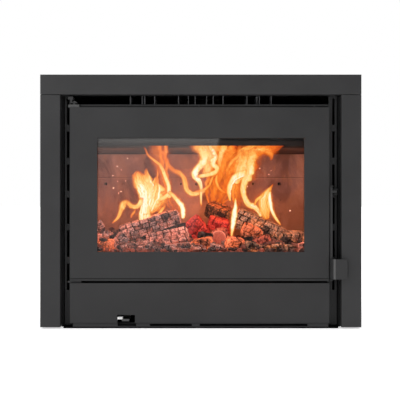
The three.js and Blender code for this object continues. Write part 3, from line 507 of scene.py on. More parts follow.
def charred(name, dark, pale, glow_colour, glow_from, glow_strength):
    """Cracked char: ash on the blocks, black in the cracks, and a glow that drifts over them."""
    material, place, plug = new_finish(name, Specular_IOR_Level=0.25, Emission_Strength=glow_strength)
    crack = place.mark("crack")
    block = place.mark("block")
    fleck = place.noise(620, 5, roughness=0.8)
    scar = place.noise(150, 4, roughness=0.7)
    drift = place.noise(34, 4, roughness=0.6)
    bent = place.vector("MULTIPLY_ADD", scar.beside("Color"), (0.006,) * 3, place)
    web = bent.cells(150, "DISTANCE_TO_EDGE", stretch=(0.8, 1, 1)).between(0.015, 0.13)
    ashy = (block * 0.4 + fleck * 0.6 + scar * 0.7 + drift * 0.35 - 0.50).between(0.22, 0.74) * (web * 0.75 + 0.25)
    face = ashy.blend(dark, pale)
    plug(Base_Color=crack.between(0.08, 0.45).blend(face, (0.005, 0.0035, 0.004)))
    plug(Roughness=ashy * 0.15 + 0.75)
    patch = (drift * 0.7 + scar * 0.5).between(glow_from, glow_from + 0.22)
    heat = (patch * (0.35 + fleck * 0.9) * (1 - crack * 0.75)).clamped()
    plug(Emission_Color=heat.blend((0, 0, 0), glow_colour))
    height = fleck * 0.5 + scar * 0.5 + web * 0.5 - crack * 0.3
    plug(Normal=height.bump(0.6, 0.0012))
    return material


def section_radius(angle, squareness):
    """How far a billet's side lies from its middle, as a share of half its depth and height."""
    flat_sides = 1 / max(abs(math.cos(angle)), abs(math.sin(angle)))
    return 0.5 * flat_sides**squareness * (0.93 + 0.05 * math.sin(3 * angle + 0.6))


def char_pattern(x, y, z, seed):
    """Char breaks square: long cracks along the grain, deeper ones across it. How deep, and which block."""
    warp = noise.noise_vector(Vector((x * 34, y * 34, z * 34 + seed * 9.1)))
    angle = math.atan2(z, y) / math.tau + 0.5 + warp.y * 0.022
    row = angle * block_rows
    row_number = math.floor(row)
    from_row = min(row - row_number, row_number + 1 - row) * block_width
    column = x / block_length + 0.37 * math.sin(row_number * 12.9 + seed * 5.3) + warp.x * 0.3
    column_number = math.floor(column)
    from_column = min(column - column_number, column_number + 1 - column) * block_length
    dice = noise.noise(Vector((row_number * 1.7 + 0.3, column_number * 2.3 + 0.7, seed * 3.9 + 0.2)))
    width, sway = long_crack_width
    long_crack = max(0.0, 1 - from_row / (width + sway * warp.z))
    width, sway = cross_crack_width
    cross_crack = max(0.0, 1 - from_column / (width + sway * warp.z))
    split = column * fine_cracks + warp.z
    from_split = min(split % 1, 1 - split % 1) * block_length / fine_cracks
    fine_crack = max(0.0, 1 - from_split / fine_crack_width) * 0.45
    return max(long_crack * 0.7, cross_crack, fine_crack), min(1.0, max(0.0, 0.5 + dice * 1.1))


def log_body(length, depth, height, seed, crack_depth, squareness):
    """A billet round the X axis, its sides and ends broken into blocks of char."""
    mesh = bmesh.new()
    bmesh.ops.create_cube(mesh, size=1)
    along = [e for e in mesh.edges if abs(e.verts[0].co.x - e.verts[1].co.x) > 0.5]
    runs = max(1, round(length / depth))
    if runs > 1:
        bmesh.ops.subdivide_edges(mesh, edges=along, cuts=runs - 1, use_grid_fill=True)
    calm = 0.25 if squareness == round_squareness else 1.0
    cuts = max(least_cuts, round(depth / log_step)) if length > short_log else short_log_cuts
    bmesh.ops.subdivide_edges(mesh, edges=mesh.edges, cuts=cuts, use_grid_fill=True)
    crack_layer = mesh.verts.layers.float.new("crack")
    block_layer = mesh.verts.layers.float.new("block")
    for vert in mesh.verts:
        x, y, z = vert.co
        reach = 2 * max(abs(y), abs(z))
        angle = math.atan2(z, y)
        out = section_radius(angle, squareness) * reach
        waist = 1 - log_taper * abs(2 * x) ** 6
        wander = noise.noise(Vector((x * length * 16, seed, 0))) * log_bend
        lump = 1 + log_lump * calm * noise.noise(Vector((x * length * 45, angle * 1.3, seed * 2.0)))
        vert.co = Vector(
            (
                x * length * (1 - 0.05 * reach**4 + 0.03 * noise.noise(Vector((y * 9, z * 9, seed)))),
                (math.cos(angle) * out * waist * lump + wander) * depth,
                (math.sin(angle) * out * waist * lump + wander * 0.6) * height,
            )
        )
    mesh.normal_update()
    moves = []
    for vert in mesh.verts:
        place = vert.co
        crack, block = char_pattern(place.x, place.y / depth * height, place.z, seed)
        end = abs(vert.normal.x)
        if end > sawn_end:
            ring = math.hypot(place.y / depth, place.z / height) * 9
            crack = 0.55 * calm * max(0.0, 1 - min(ring % 1, 1 - ring % 1) / 0.16)
            block = 0.55 + 0.3 * noise.noise(place * 120) + 0.6 * (1 - calm)
            if calm < 1:
                crack = max(crack, min(1.0, (ring - 3.9) / 0.3))
        grain = noise.noise(Vector((place.x * 70, place.y * 520, place.z * 520 + seed)))
        rough = noise.noise(place * 260) * 0.5 + noise.noise(place * 620) * 0.3
        sink = crack_depth * crack - block_rise * (block - 0.5) + grain_rise * grain + rough_rise * rough
        vert[crack_layer] = crack
        vert[block_layer] = block
        moves.append(vert.normal * -sink)
    for vert, move in zip(mesh.verts, moves):
        vert.co += move
    return mesh


def lay_log(name, centre, size, turns, seed, kind, crack_depth, node=None):
    """Turns a billet and lays it where the construction has its log."""
    pitch, yaw, roll = (math.radians(turn) for turn in turns)
    mesh = log_body(*size, seed, crack_depth, round_squareness if node == "log_round" else split_squareness)
    turn = Matrix.Rotation(yaw, 3, "Z") @ Matrix.Rotation(-pitch, 3, "Y") @ Matrix.Rotation(roll, 3, "X")
    put(mesh, turn, Vector((centre[0], front_y + centre[1], centre[2])))
    add_piece(name + "_char", mesh, chars[kind], node=node)


log_rows = [
    ("log_left_upper", (-0.141, 0.185, 0.252), (0.172, 0.062, 0.050), (16, 4, 6), 1, "left"),
    ("log_left_lower", (-0.088, 0.118, 0.221), (0.112, 0.046, 0.041), (12, -5, -8), 2, "pink"),
    ("log_centre", (0.062, 0.216, 0.282), (0.096, 0.054, 0.046), (-22, -24, 12), 3, "black"),
    ("log_right", (0.165, 0.176, 0.244), (0.152, 0.064, 0.060), (-25, -6, 5), 4, "right"),
    ("log_far_right", (0.250, 0.134, 0.214), (0.084, 0.058, 0.048), (-4, 8, 10), 5, "right"),
    ("log_round", (0.052, 0.138, 0.228), (0.078, 0.042, 0.042), (5, 82, 0), 6, "round"),
    ("log_glowing", (-0.009, 0.150, 0.246), (0.062, 0.044, 0.050), (-50, 10, 20), 7, "hot"),
]
chars = {
    "left": charred("char_left", (0.030, 0.021, 0.024), (0.60, 0.385, 0.37), (0.75, 0.18, 0.10), 0.52, 0.9),
    "pink": charred("char_pink", (0.045, 0.024, 0.026), (0.86, 0.46, 0.40), (0.85, 0.18, 0.10), 0.50, 1.0),
    "right": charred("char_right", (0.026, 0.018, 0.018), (0.52, 0.33, 0.24), (0.90, 0.24, 0.08), 0.55, 1.1),
    "round": charred("char_round", (0.06, 0.018, 0.015), (0.52, 0.17, 0.12), (0.70, 0.09, 0.05), 0.50, 0.5),
    "black": charred("char_black", (0.03, 0.016, 0.013), (0.27, 0.105, 0.052), (1.0, 0.28, 0.06), 0.60, 0.9),
    # Near black, for the brands set in the gaps between the logs: painted shade.
    "dead": charred("char_shade_black", (0.006, 0.005, 0.005), (0.10, 0.072, 0.068), (0.3, 0.02, 0.01), 0.9, 0.1),
    "orange": charred("char_orange", (0.07, 0.018, 0.012), (0.90, 0.32, 0.18), (1.0, 0.17, 0.05), 0.45, 0.8),
    "hot": charred("char_hot", (0.035, 0.006, 0.006), (0.55, 0.085, 0.066), (1.0, 0.030, 0.018), 0.44, 0.58),
}
noise.seed_set(char_start)
for node, *row in log_rows:
    lay_log(node, *row, log_crack, node)

# The round log's sawn end
# A disc of end grain, still glowing, with its year rings, inside a rim that has burnt pale.
end_middle = Vector((0.0475, front_y + 0.0965, 0.2225))
end_radius = 0.0192
end_thickness = 0.006
end_sides = 40
end_insets = 4
end_inset = 0.0038
end_tip = 86
end_roll = -8


def end_grain():
    material, place, plug = new_finish("end_grain", Specular_IOR_Level=0.15, Emission_Strength=0.35)
    spot = place.vector("SUBTRACT", place, tuple(end_middle))
    far = place.vector("LENGTH", spot.vector("MULTIPLY", spot, (1, 0, 1)), output="Value")
    waver = place.noise(120, 3)
    fleck = place.noise(700, 4, roughness=0.75)
    years = far * 2300 + waver * 5
    rings = years.math("SINE", years) * 0.5 + 0.5
    rim = far.between(end_radius * 0.70, end_radius * 0.80)
    line = rim * (1 - far.between(end_radius * 0.80, end_radius * 0.88))
    split = place.cells(90, "DISTANCE_TO_EDGE").between(0.0, 0.06)
    pale = (rings * 0.45 + fleck * 0.7).between(0.25, 0.95) * (split * 0.6 + 0.4)
    colour = pale.blend((0.20, 0.045, 0.034), (0.46, 0.155, 0.110))
    colour = rim.blend(colour, (0.66, 0.25, 0.18))
    plug(Base_Color=(line * 0.7).blend(colour, (0.10, 0.02, 0.018)))
    plug(Roughness=fleck * 0.1 + 0.85)
    plug(Emission_Color=(pale * (1 - rim)).blend((0, 0, 0), (0.6, 0.09, 0.04)))
    plug(Normal=(rings * 0.4 + fleck).bump(0.5, 0.0006))
    return material


log_end = bmesh.new()
bmesh.ops.create_cone(
    log_end,
    cap_ends=True,
    cap_tris=False,
    segments=end_sides,
    radius1=end_radius,
    radius2=end_radius,
    depth=end_thickness,
)
caps = [f for f in log_end.faces if abs(f.normal.z) > 0.9]
for _ in range(end_insets):
    bmesh.ops.inset_region(log_end, faces=caps, thickness=end_inset, use_even_offset=True)
round_edges(log_end, [e for e in log_end.edges if e.calc_face_angle(0) > 1], 0.0014, 3)
for vert in log_end.verts:
    uneven = 1 + 0.05 * noise.noise(vert.co * 90) + 0.04 * math.sin(3 * math.atan2(vert.co.y, vert.co.x))
    vert.co = Vector((vert.co.x * uneven, vert.co.y * uneven, vert.co.z + 0.0008 * noise.noise(vert.co * 300)))
end_turn = Matrix.Rotation(math.radians(end_roll), 3, "Z") @ Matrix.Rotation(math.radians(end_tip), 3, "X")
put(log_end, end_turn, end_middle)
add_piece("log_round_end", log_end, end_grain())

# The bed of embers
# Ash and small coals heaped on the hearth, highest at the left end, with broken brands lying in it.
# Nothing holds it but its own weight and the hearth's rim.
bed_low, bed_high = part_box("ember_bed")
bed_step = 0.0026
bed_height = 0.046
bed_heap = 0.030
bed_heap_reach = 0.070
bed_wave = 0.011
bed_slope = 0.016
bed_slope_reach = 0.07
bed_lump = 0.0075
bed_rim = 0.012


def bed_rise(x, y):
    """The bed's own height over its mean level at one place: it slopes down to the glass."""
    heap = bed_heap * math.exp(-(((x - bed_low.x) / bed_heap_reach) ** 2))
    broad = noise.noise(Vector((x * 22, y * 26, 4.0))) * bed_wave
    coals, _ = noise.voronoi(Vector((x * 75, y * 75, 1.0)))
    slope = -bed_slope * max(0.0, 1 - (y - bed_low.y) / bed_slope_reach)
    return heap * (0.6 + 0.4 * min(1, (y - bed_low.y) / 0.06)) + broad + slope + bed_lump * (0.75 - coals[0])


def bed_top(x, y):
    """The height of the bed's crust at one place; its front edge is rounded down."""
    rim = min(1, (y - bed_low.y) / bed_rim)
    return bed_low.z + (bed_height + bed_rise(x, y)) * (0.45 + 0.55 * rim)


def ember_finish():
    material, place, plug = new_finish("embers", Specular_IOR_Level=0.2, Emission_Strength=1.3)
    glow = place.mark("glow")
    fleck = place.noise(430, 4, roughness=0.75)
    patch = place.noise(55, 4, roughness=0.65)
    ashy = (fleck * 0.6 + patch * 0.5).between(0.5, 0.85)
    plug(Base_Color=ashy.blend((0.050, 0.034, 0.032), (0.52, 0.36, 0.33)))
    plug(Roughness=ashy * 0.1 + 0.85)
    hot = (glow * (patch * 1.6 - 0.3)).clamped()
    plug(Emission_Color=(hot * (fleck * 1.1)).clamped().blend((0, 0, 0), (0.85, 0.13, 0.06)))
    plug(Normal=fleck.bump(0.5, 0.001))
    return material


ember_coat = ember_finish()
bed = bmesh.new()
bed_columns = round((bed_high.x - bed_low.x) / bed_step)
bed_rows = round((bed_high.y - bed_low.y) / bed_step)
bmesh.ops.create_grid(bed, x_segments=bed_columns, y_segments=bed_rows, size=0.5)
crust = bmesh.ops.extrude_face_region(bed, geom=bed.faces[:], use_keep_orig=True)
crust_verts = {v for v in crust["geom"] if isinstance(v, bmesh.types.BMVert)}
bed_glow = bed.verts.layers.float.new("glow")
for vert in bed.verts:
    x = bed_low.x + (vert.co.x + 0.5) * (bed_high.x - bed_low.x)
    y = bed_low.y + (vert.co.y + 0.5) * (bed_high.y - bed_low.y)
    top = bed_top(x, y)
    vert[bed_glow] = max(0.0, noise.noise(Vector((x * 17, y * 17, 9.0))) * 1.4)
    vert.co = Vector((x, y, top if vert in crust_verts else bed_low.z))
bmesh.ops.recalc_face_normals(bed, faces=bed.faces)
add_piece("ember_bed_crust", bed, ember_coat, node="ember_bed")

# Loose coals
# Angular bits of charcoal broken off the logs, some still red, thick along the front of the bed.
coal_count = 640
coals_at_once = 32
coal_sizes = (0.0035, 0.0115)
coal_turn = 6.3
coal_lean = 0.6
coal_wobble = 0.12
coal_dice = random.Random(7)


def gather(whole, part):
    """Adds one finished bmesh to another."""
    spare = bpy.data.meshes.new("spare")
    part.to_mesh(spare)
    part.free()
    whole.from_mesh(spare)
    bpy.data.meshes.remove(spare)


def add_coal(coals, glow_layer, on_slope):
    """Drops one angular coal on the bed, or on its front slope."""
    x = coal_dice.uniform(bed_low.x + 0.008, bed_high.x - 0.008)
    y = bed_low.y + 0.002 + coal_dice.random() ** 1.7 * (bed_high.y - bed_low.y - 0.010)
    size = coal_dice.uniform(*coal_sizes)
    z = bed_top(x, y) + size * 0.25
    if on_slope:
        y = bed_low.y + coal_dice.uniform(0.0, 0.006)
        z = bed_low.z + coal_dice.uniform(0.010, 0.032)
    stretch = (coal_dice.uniform(0.7, 1.6), coal_dice.uniform(0.6, 1.1), coal_dice.uniform(0.5, 0.95))
    made = bmesh.ops.create_cube(coals, size=size)["verts"]
    edges = list(dict.fromkeys(e for v in made for e in v.link_edges))
    made = bmesh.ops.subdivide_edges(coals, edges=edges, cuts=1, use_grid_fill=True, smooth=0.45)
    coals.verts.index_update()
    made = {v for f in made["geom"] if isinstance(f, bmesh.types.BMFace) for v in f.verts}
    spin = Matrix.Rotation(coal_dice.uniform(0, coal_turn), 3, "Z")
    turn = spin @ Matrix.Rotation(coal_dice.uniform(-coal_lean, coal_lean), 3, "X")
    hot = max(0.0, coal_dice.uniform(-0.6, 1.0))
    for vert in sorted(made, key=lambda v: v.index):
        wobble = Vector([coal_dice.uniform(-coal_wobble, coal_wobble) * size for _ in range(3)])
        vert.co = turn @ Vector([c * s for c, s in zip(vert.co + wobble, stretch)]) + Vector((x, y, z))
        vert[glow_layer] = hot


coals = bmesh.new()
coals.verts.layers.float.new("glow")
for first in range(0, coal_count, coals_at_once):
    handful = bmesh.new()
    handful_glow = handful.verts.layers.float.new("glow")
    for number in range(first, first + coals_at_once):
        add_coal(handful, handful_glow, number % 4 == 0)
    gather(coals, handful)
add_piece("loose_coals", coals, ember_coat, smooth=False)

# Broken brands
# Short ends that have dropped from the logs and lie in the bed, some glowing right through. The near-black ones sit
# in the gaps under and between the logs: dead char, and painted shade where shade falls there.
# Each row: middle in x, depth and z, size, turns, seed, and whether it glows.
brand_rows = [
    ((-0.278, 0.078, 0.222), (0.036, 0.032, 0.026), (12, 30, 10), 11, "pink"),
    ((-0.246, 0.064, 0.206), (0.046, 0.030, 0.026), (-8, -20, 30), 12, "orange"),
    ((-0.286, 0.062, 0.200), (0.030, 0.026, 0.024), (40, 10, 20), 27, "left"),
    ((-0.276, 0.110, 0.252), (0.034, 0.026, 0.024), (30, 10, 0), 13, "left"),
    ((-0.250, 0.090, 0.232), (0.034, 0.024, 0.022), (-24, 40, 0), 28, "left"),
    ((-0.212, 0.074, 0.214), (0.044, 0.028, 0.030), (50, 20, 12), 29, "left"),
    ((-0.190, 0.062, 0.199), (0.044, 0.026, 0.024), (6, 28, 12), 14, "left"),
    ((-0.148, 0.066, 0.200), (0.046, 0.030, 0.028), (-10, -30, 40), 15, "left"),
    ((-0.108, 0.060, 0.196), (0.034, 0.026, 0.020), (8, 40, 10), 30, "left"),
    ((-0.058, 0.064, 0.198), (0.066, 0.028, 0.024), (4, 10, 0), 16, "left"),
    ((0.004, 0.078, 0.208), (0.052, 0.034, 0.030), (10, -24, 15), 17, "orange"),
    ((-0.008, 0.056, 0.194), (0.040, 0.022, 0.018), (0, 12, 30), 31, "left"),
    ((0.040, 0.062, 0.196), (0.034, 0.024, 0.022), (-12, 30, 15), 32, "left"),
    ((0.089, 0.074, 0.206), (0.050, 0.034, 0.034), (-14, 18, 25), 18, "orange"),
    ((0.136, 0.066, 0.200), (0.046, 0.028, 0.024), (-18, 30, 10), 19, "right"),
    ((0.160, 0.096, 0.212), (0.050, 0.030, 0.026), (14, -20, 20), 33, "round"),
    ((0.186, 0.064, 0.198), (0.052, 0.026, 0.024), (5, -16, 20), 20, "right"),
    ((0.232, 0.060, 0.196), (0.038, 0.026, 0.020), (-10, 34, 0), 34, "right"),
    ((0.270, 0.066, 0.200), (0.042, 0.030, 0.026), (8, 14, 0), 21, "pink"),
    ((0.056, 0.172, 0.254), (0.070, 0.044, 0.034), (-14, 14, 20), 22, "hot"),
    ((0.136, 0.128, 0.236), (0.052, 0.034, 0.036), (-22, 12, 20), 35, "orange"),
    ((0.112, 0.108, 0.214), (0.056, 0.030, 0.020), (6, -14, 0), 36, "dead"),
    ((-0.106, 0.142, 0.2345), (0.140, 0.030, 0.014), (18, 2, 0), 37, "dead"),
    ((-0.170, 0.112, 0.206), (0.044, 0.030, 0.022), (14, 10, 20), 38, "dead"),
    ((-0.226, 0.100, 0.222), (0.038, 0.030, 0.024), (16, 30, 0), 39, "dead"),
    ((0.013, 0.102, 0.2255), (0.040, 0.026, 0.022), (-10, 20, 0), 40, "dead"),
    ((0.226, 0.098, 0.206), (0.034, 0.030, 0.030), (-30, 20, 0), 41, "dead"),
]
for number, row in enumerate(brand_rows):
    lay_log(f"brand_{number}", *row, brand_crack)

# The flames
# Sheets and ribbons of burning gas, seen against the back wall. Each is a closed leaf, thin across the
# depth, that follows a row of places in the photograph's pixels: x, y, half its width, and its heat.
photo_pixels = 400
photo_middle = photo_pixels / 2
photo_scale = view_width / photo_pixels


def photo_place(x, y, depth):
    """The point behind one pixel of the photograph, at a depth behind the surround's face."""
    grown = photo_scale * (camera_distance + depth) / camera_distance
    return Vector(
        (camera_x + (x - photo_middle) * grown, front_y + depth, camera_height + (photo_middle - y) * grown)
    )


def passing(rows, share):
    """A smooth way through rows of numbers."""
    place = share * (len(rows) - 1)
    first = min(int(place), len(rows) - 2)
    t = place - first
    near = [rows[max(0, min(len(rows) - 1, first + step))] for step in (-1, 0, 1, 2)]
    return [
        0.5 * (2 * b + (c - a) * t + (2 * a - 5 * b + 4 * c - d) * t * t + (3 * b - a - 3 * c + d) * t**3)
        for a, b, c, d in zip(*near)
    ]


flame_rows = [
    # the left group, from its white root on the log
    (0.186, (144.6, 222, 5.6, 1), (144.5, 214, 5, 1), (144.8, 207, 4, 1), (145.4, 199, 4.6, 1), (146, 192, 7, 0.95),
        (144.5, 185, 8.4, 0.85), (141.5, 179.5, 7.6, 0.7), (139.5, 174.5, 5.6, 0.5), (140.5, 170, 2, 0.2)),
    (0.194, (149, 212, 3, 0.75), (151, 204, 5.5, 0.85), (154, 196, 8, 0.85), (155.5, 189, 7.4, 0.75),
        (155.8, 183, 4, 0.6), (156.8, 176, 1, 0.4)),
    (0.185, (145, 215, 4.2, 0.9), (145, 206, 4.3, 1), (144.5, 198, 4.8, 1), (142.5, 190, 5.8, 0.85),
        (139, 183, 5.6, 0.7), (135.5, 178, 4, 0.5), (131.8, 173.3, 1.2, 0.2)),
    (0.190, (146.5, 213, 3.6, 0.9), (147.2, 205, 4.2, 0.98), (148.5, 196, 5, 0.95), (149, 189, 6.2, 0.85),
        (148.5, 182, 5.4, 0.75), (147, 175, 3, 0.5), (145.5, 167, 0.9, 0.2)),
    (0.192, (149, 203, 3, 0.7), (152.5, 194, 4.8, 0.72), (155.5, 187.5, 3.8, 0.65), (156.5, 181, 2.2, 0.5),
        (157.6, 174.8, 1.2, 0.45), (157.8, 166, 0.7, 0.2)),
    (0.200, (170, 199, 2, 0.85), (168.9, 191, 1.9, 0.88), (168.5, 184.8, 1.8, 0.88), (165.4, 177.1, 1.7, 0.85),
        (161.6, 167.9, 1.6, 0.8), (159.3, 164.1, 1.5, 0.72), (154, 160.3, 1.3, 0.65), (148.6, 155.7, 1.1, 0.45),
        (145.5, 149.5, 0.9, 0.28), (142.4, 144.5, 0.5, 0.1)),
    (0.250, (166, 196, 3.5, 0.2), (164, 184, 5.5, 0.26), (162, 173, 6.5, 0.3), (160, 162, 8.5, 0.36),
        (158.5, 153, 9.8, 0.34), (158, 146, 10, 0.3), (157, 138, 10, 0.2)),
    (0.225, (206, 189.8, 1.5, 0.6), (202.2, 191.7, 1.9, 0.7), (194.5, 194, 2.2, 0.76), (189.2, 192.4, 2.3, 0.7),
        (186.1, 188.6, 2.3, 0.66), (185.4, 184, 2.4, 0.6), (183.8, 177.9, 2.4, 0.5), (179.2, 173.3, 2.4, 0.48),
        (172.3, 169.5, 2.3, 0.44), (167.7, 164.1, 2.2, 0.4), (164.5, 156, 3.2, 0.36), (163, 146, 5, 0.3)),
    (0.170, (183.1, 219, 1.5, 0.95), (182.9, 213, 2, 1), (182.7, 208, 2.1, 1), (180.6, 203.9, 2.1, 0.92),
        (176.4, 199, 2, 0.82), (171.8, 194.4, 1.9, 0.78), (168.3, 191, 1.4, 0.6)),
    (0.195, (147, 212, 1.4, 0.8), (151, 205.5, 1.8, 0.8), (156.3, 200.1, 2, 0.72), (163.9, 197.8, 2.1, 0.72),
        (169, 193, 1.8, 0.8)),
    (0.215, (150, 213, 3, 0.4), (154, 207, 6.5, 0.46), (159, 201, 8, 0.46), (164, 196, 7, 0.38), (170, 191, 4, 0.25)),
    (0.215, (176, 214, 3, 0.2), (175, 207, 6, 0.28), (172, 201, 6, 0.3), (170, 195, 3, 0.2)),
    (0.150, (111.5, 224, 0.5, 0.35), (117.6, 218, 1.3, 0.6), (120.8, 211, 2.2, 0.7), (122.8, 205.2, 3.1, 0.75),
        (126.4, 202.6, 2.6, 0.62), (131, 205.8, 2.2, 0.64), (136, 206.6, 2, 0.7), (139.8, 203.6, 2.2, 0.8),
        (142.6, 197, 2.4, 0.9)),
    (0.165, (130.5, 218, 0.5, 0.3), (132.5, 214, 1.1, 0.5), (134.8, 211, 0.9, 0.4), (136.5, 207, 0.4, 0.1)),
    (0.175, (158, 213.5, 0.8, 0.5), (161.5, 210.5, 1.4, 0.62), (164, 207, 1.2, 0.5), (165.5, 203, 0.5, 0.2)),
    # the right group's left edge, mass and curl
    (0.215, (201, 207, 0.8, 0.5), (200.7, 197, 1, 0.7), (201.1, 188, 1.4, 0.85), (199.3, 181.3, 2.1, 0.92),
        (195.3, 176.5, 2.8, 0.96), (195.3, 171.8, 3.2, 1), (199.8, 166.5, 3.4, 0.95), (204, 160.3, 4.2, 0.86),
        (203, 152.5, 5, 0.75), (197.5, 146.5, 6.5, 0.55), (190, 141, 7, 0.4)),
    (0.232, (206, 177, 3.5, 0.6), (208, 170, 6.4, 0.72), (209, 163, 8, 0.74), (209.8, 156, 8.6, 0.72),
        (210, 148, 9.6, 0.62), (210, 140, 10, 0.5)),
    (0.150, (208.5, 143, 2, 0.7), (210.6, 148, 2, 0.85), (213.8, 152.6, 2.1, 0.92), (215.4, 157.6, 2.2, 0.97),
        (213.2, 161.6, 2.8, 1), (213.4, 164.8, 2.6, 1), (216.8, 168, 2.2, 0.97), (215.8, 171.9, 2.1, 0.92),
        (210.3, 174.2, 2.1, 0.88), (202.7, 175.8, 2, 0.8), (194.5, 177.2, 1.5, 0.6)),
    (0.200, (194, 191.8, 0.9, 0.4), (202.7, 190.1, 1.1, 0.5), (208.8, 185.5, 1.2, 0.52), (212.6, 177.8, 1.3, 0.5),
        (215.9, 171.5, 1, 0.4)),
    (0.205, (232.5, 193.4, 0.8, 0.3), (223.3, 191.6, 1.1, 0.45), (218.7, 187, 1.2, 0.55), (216.4, 180.9, 1.3, 0.6),
        (217.3, 173.8, 1.1, 0.5)),
    # the broad orange sheet behind, cut off by the deflector
    (0.262, (215, 210, 4, 0.22), (217, 199, 12, 0.28), (220, 189, 17, 0.31), (224, 177, 19, 0.34),
        (229, 165, 21, 0.38), (236, 157, 26, 0.38), (240, 152.5, 29, 0.28), (243, 149, 30, 0.02)),
    (0.245, (239, 178, 6, 0.5), (241, 170, 10, 0.55), (244, 161, 12, 0.52), (251, 154, 13, 0.44),
        (264, 149, 11, 0.34), (274, 141, 10, 0.2)),
    (0.225, (243, 160, 2.4, 0.6), (250, 153.5, 3, 0.62), (257, 150.2, 3.4, 0.56), (264, 149.8, 4.2, 0.5),
        (269.6, 152.4, 4.2, 0.42), (271.4, 157, 2.4, 0.32), (269.6, 161.5, 0.6, 0.14)),
    (0.228, (258, 151, 3.5, 0.5), (267, 149, 4.5, 0.38), (276, 147, 4.5, 0.26), (283, 142.5, 3.5, 0.18)),
    (0.220, (226, 172, 1.4, 0.5), (231, 163, 1.8, 0.62), (238, 156, 1.9, 0.6), (246, 150, 1.8, 0.55),
        (254, 143, 1.8, 0.4)),
    (0.224, (219, 168, 1.6, 0.6), (219.5, 160, 2.3, 0.7), (222, 152, 3.2, 0.72), (224, 144, 4, 0.6)),
    # the right column and its limbs
    (0.190, (261, 218, 1.3, 0.8), (258.8, 211.5, 2.1, 0.85), (254.9, 207.2, 2.5, 0.88), (248.8, 204.4, 2.7, 0.86),
        (245.2, 198.5, 2.5, 0.82), (243, 190.1, 2.7, 0.87), (245, 182, 3.6, 0.96), (248.4, 175.5, 4.2, 1),
        (250.1, 169.4, 3.8, 0.97), (250.8, 161, 4.2, 0.85), (253.5, 155, 5, 0.7), (259, 148, 6, 0.5)),
    (0.195, (230, 202, 0.9, 0.6), (229, 195, 1.6, 0.8), (229, 190, 2.1, 0.9), (230.6, 184, 2.4, 0.92),
        (234.4, 178, 2.8, 0.96), (241, 174.4, 3.6, 1), (248, 171.5, 3.4, 1)),
    (0.210, (235, 184, 2, 0.78), (239, 177.5, 5.6, 0.88), (243, 172, 7.6, 0.9), (245.5, 165, 7.8, 0.82),
        (247, 158, 8, 0.66), (250, 151.5, 8, 0.3)),
    (0.222, (238, 207, 2.6, 0.24), (237, 199, 6, 0.32), (236.5, 190, 6.8, 0.38), (238, 181, 5.5, 0.42)),
    (0.150, (231.2, 240, 0.6, 0.7), (232, 232, 1.2, 0.9), (232.8, 226, 1.9, 1), (233.6, 220, 2.4, 1),
        (234.3, 214.5, 2.6, 1), (235.2, 209, 2, 1), (235.5, 204, 1.2, 0.95), (235.2, 196, 0.5, 0.6)),
    # the small flame at the right
    (0.180, (267, 220, 2.6, 0.45), (265.5, 212, 5.4, 0.66), (264.6, 205, 6.4, 0.74), (265.2, 199, 6, 0.74),
        (267.6, 193, 3.8, 0.66), (270.6, 188, 1.6, 0.5), (274, 183, 0.5, 0.2)),
    (0.176, (281, 225.5, 0.6, 0.5), (277.3, 220.5, 1.1, 0.72), (274.6, 216.1, 1.3, 0.84), (271.9, 210, 1.5, 0.94),
        (270.2, 203, 1.6, 1), (269.7, 196, 1.4, 0.92), (270.4, 190, 1, 0.6)),
    (0.178, (254, 206, 0.8, 0.4), (257, 200, 1.6, 0.6), (260.5, 197, 1.4, 0.6), (264, 193.5, 1, 0.5)),
    # a tongue and the right group's red tip under the deflector
    (0.226, (236, 161, 1.6, 0.4), (238.2, 155, 2, 0.45), (239.4, 149, 2, 0.38), (240, 143, 1.8, 0.25)),
    (0.230, (264, 150, 4, 0.26), (271, 150, 4.6, 0.27), (277, 147, 4.2, 0.25), (282, 141.5, 3, 0.2)),
]


def burning_gas():
    material, place, plug = new_finish("flame", Roughness=1.0, Specular_IOR_Level=0.0, Emission_Strength=1.2)
    heat = place.mark("warmth")
    across = place.mark("across")
    streak = place.noise(30, 3, roughness=0.55, distortion=0.9, stretch=(1, 0.4, 0.38))
    fold = place.noise(95, 3, roughness=0.6, distortion=1.4, stretch=(1, 0.3, 0.3))
    core = (1 - across * across).clamped()
    hot = (heat * (core * 0.5 + 0.5) * (streak * 0.9 + fold * 0.6 + 0.2)).clamped()
    stops = [
        (0.0, (0.35, 0.02, 0.0)),
        (0.18, (0.82, 0.10, 0.01)),
        (0.36, (1.0, 0.26, 0.03)),
        (0.56, (1.0, 0.48, 0.10)),
        (0.76, (1.0, 0.74, 0.29)),
        (0.97, (1.0, 0.96, 0.76)),
    ]
    plug(Emission_Color=hot.make("ValToRGB", {"stops": stops}, {"Fac": hot}))
    thick = core * heat * (streak * 1.0 + fold * 0.8 + 0.1)
    plug(Alpha=thick.between(0.0, 0.78))
    plug(Base_Color=hot.blend((0.0, 0.0, 0.0), (0.01, 0.005, 0.0)))
    material.cycles.emission_sampling = "NONE"
    return material


# Rows of a height in the photograph's pixels and the depth that a flame may have there: the draught
# draws the gas forward under the baffle and round its front edge.
draught_rows = [(0, 0.054), (149.4, 0.055), (150.4, 0.075), (155, 0.110), (163, 0.155), (175, 0.21), (190, 0.30)]


def drawn_depth(y, depth):
    """A flame's depth at one height in the photograph; the nearer flames stay the nearer ones."""
    for (above, near), (below, far) in zip(draught_rows, draught_rows[1:]):
        if y <= below:
            return min(depth, near + (far - near) * (y - above) / (below - above) + (depth - 0.15) * 0.09)
    return depth


flame_rings = 7
flame_around = 12
flame_thin = 0.4
flame_thickest = 0.0032
least_half = 0.15
root_share = 0.12
tip_share = 0.3
glow_behind = 0.006
flames = bmesh.new()
flames.verts.layers.float.new("warmth")
flames.verts.layers.float.new("across")


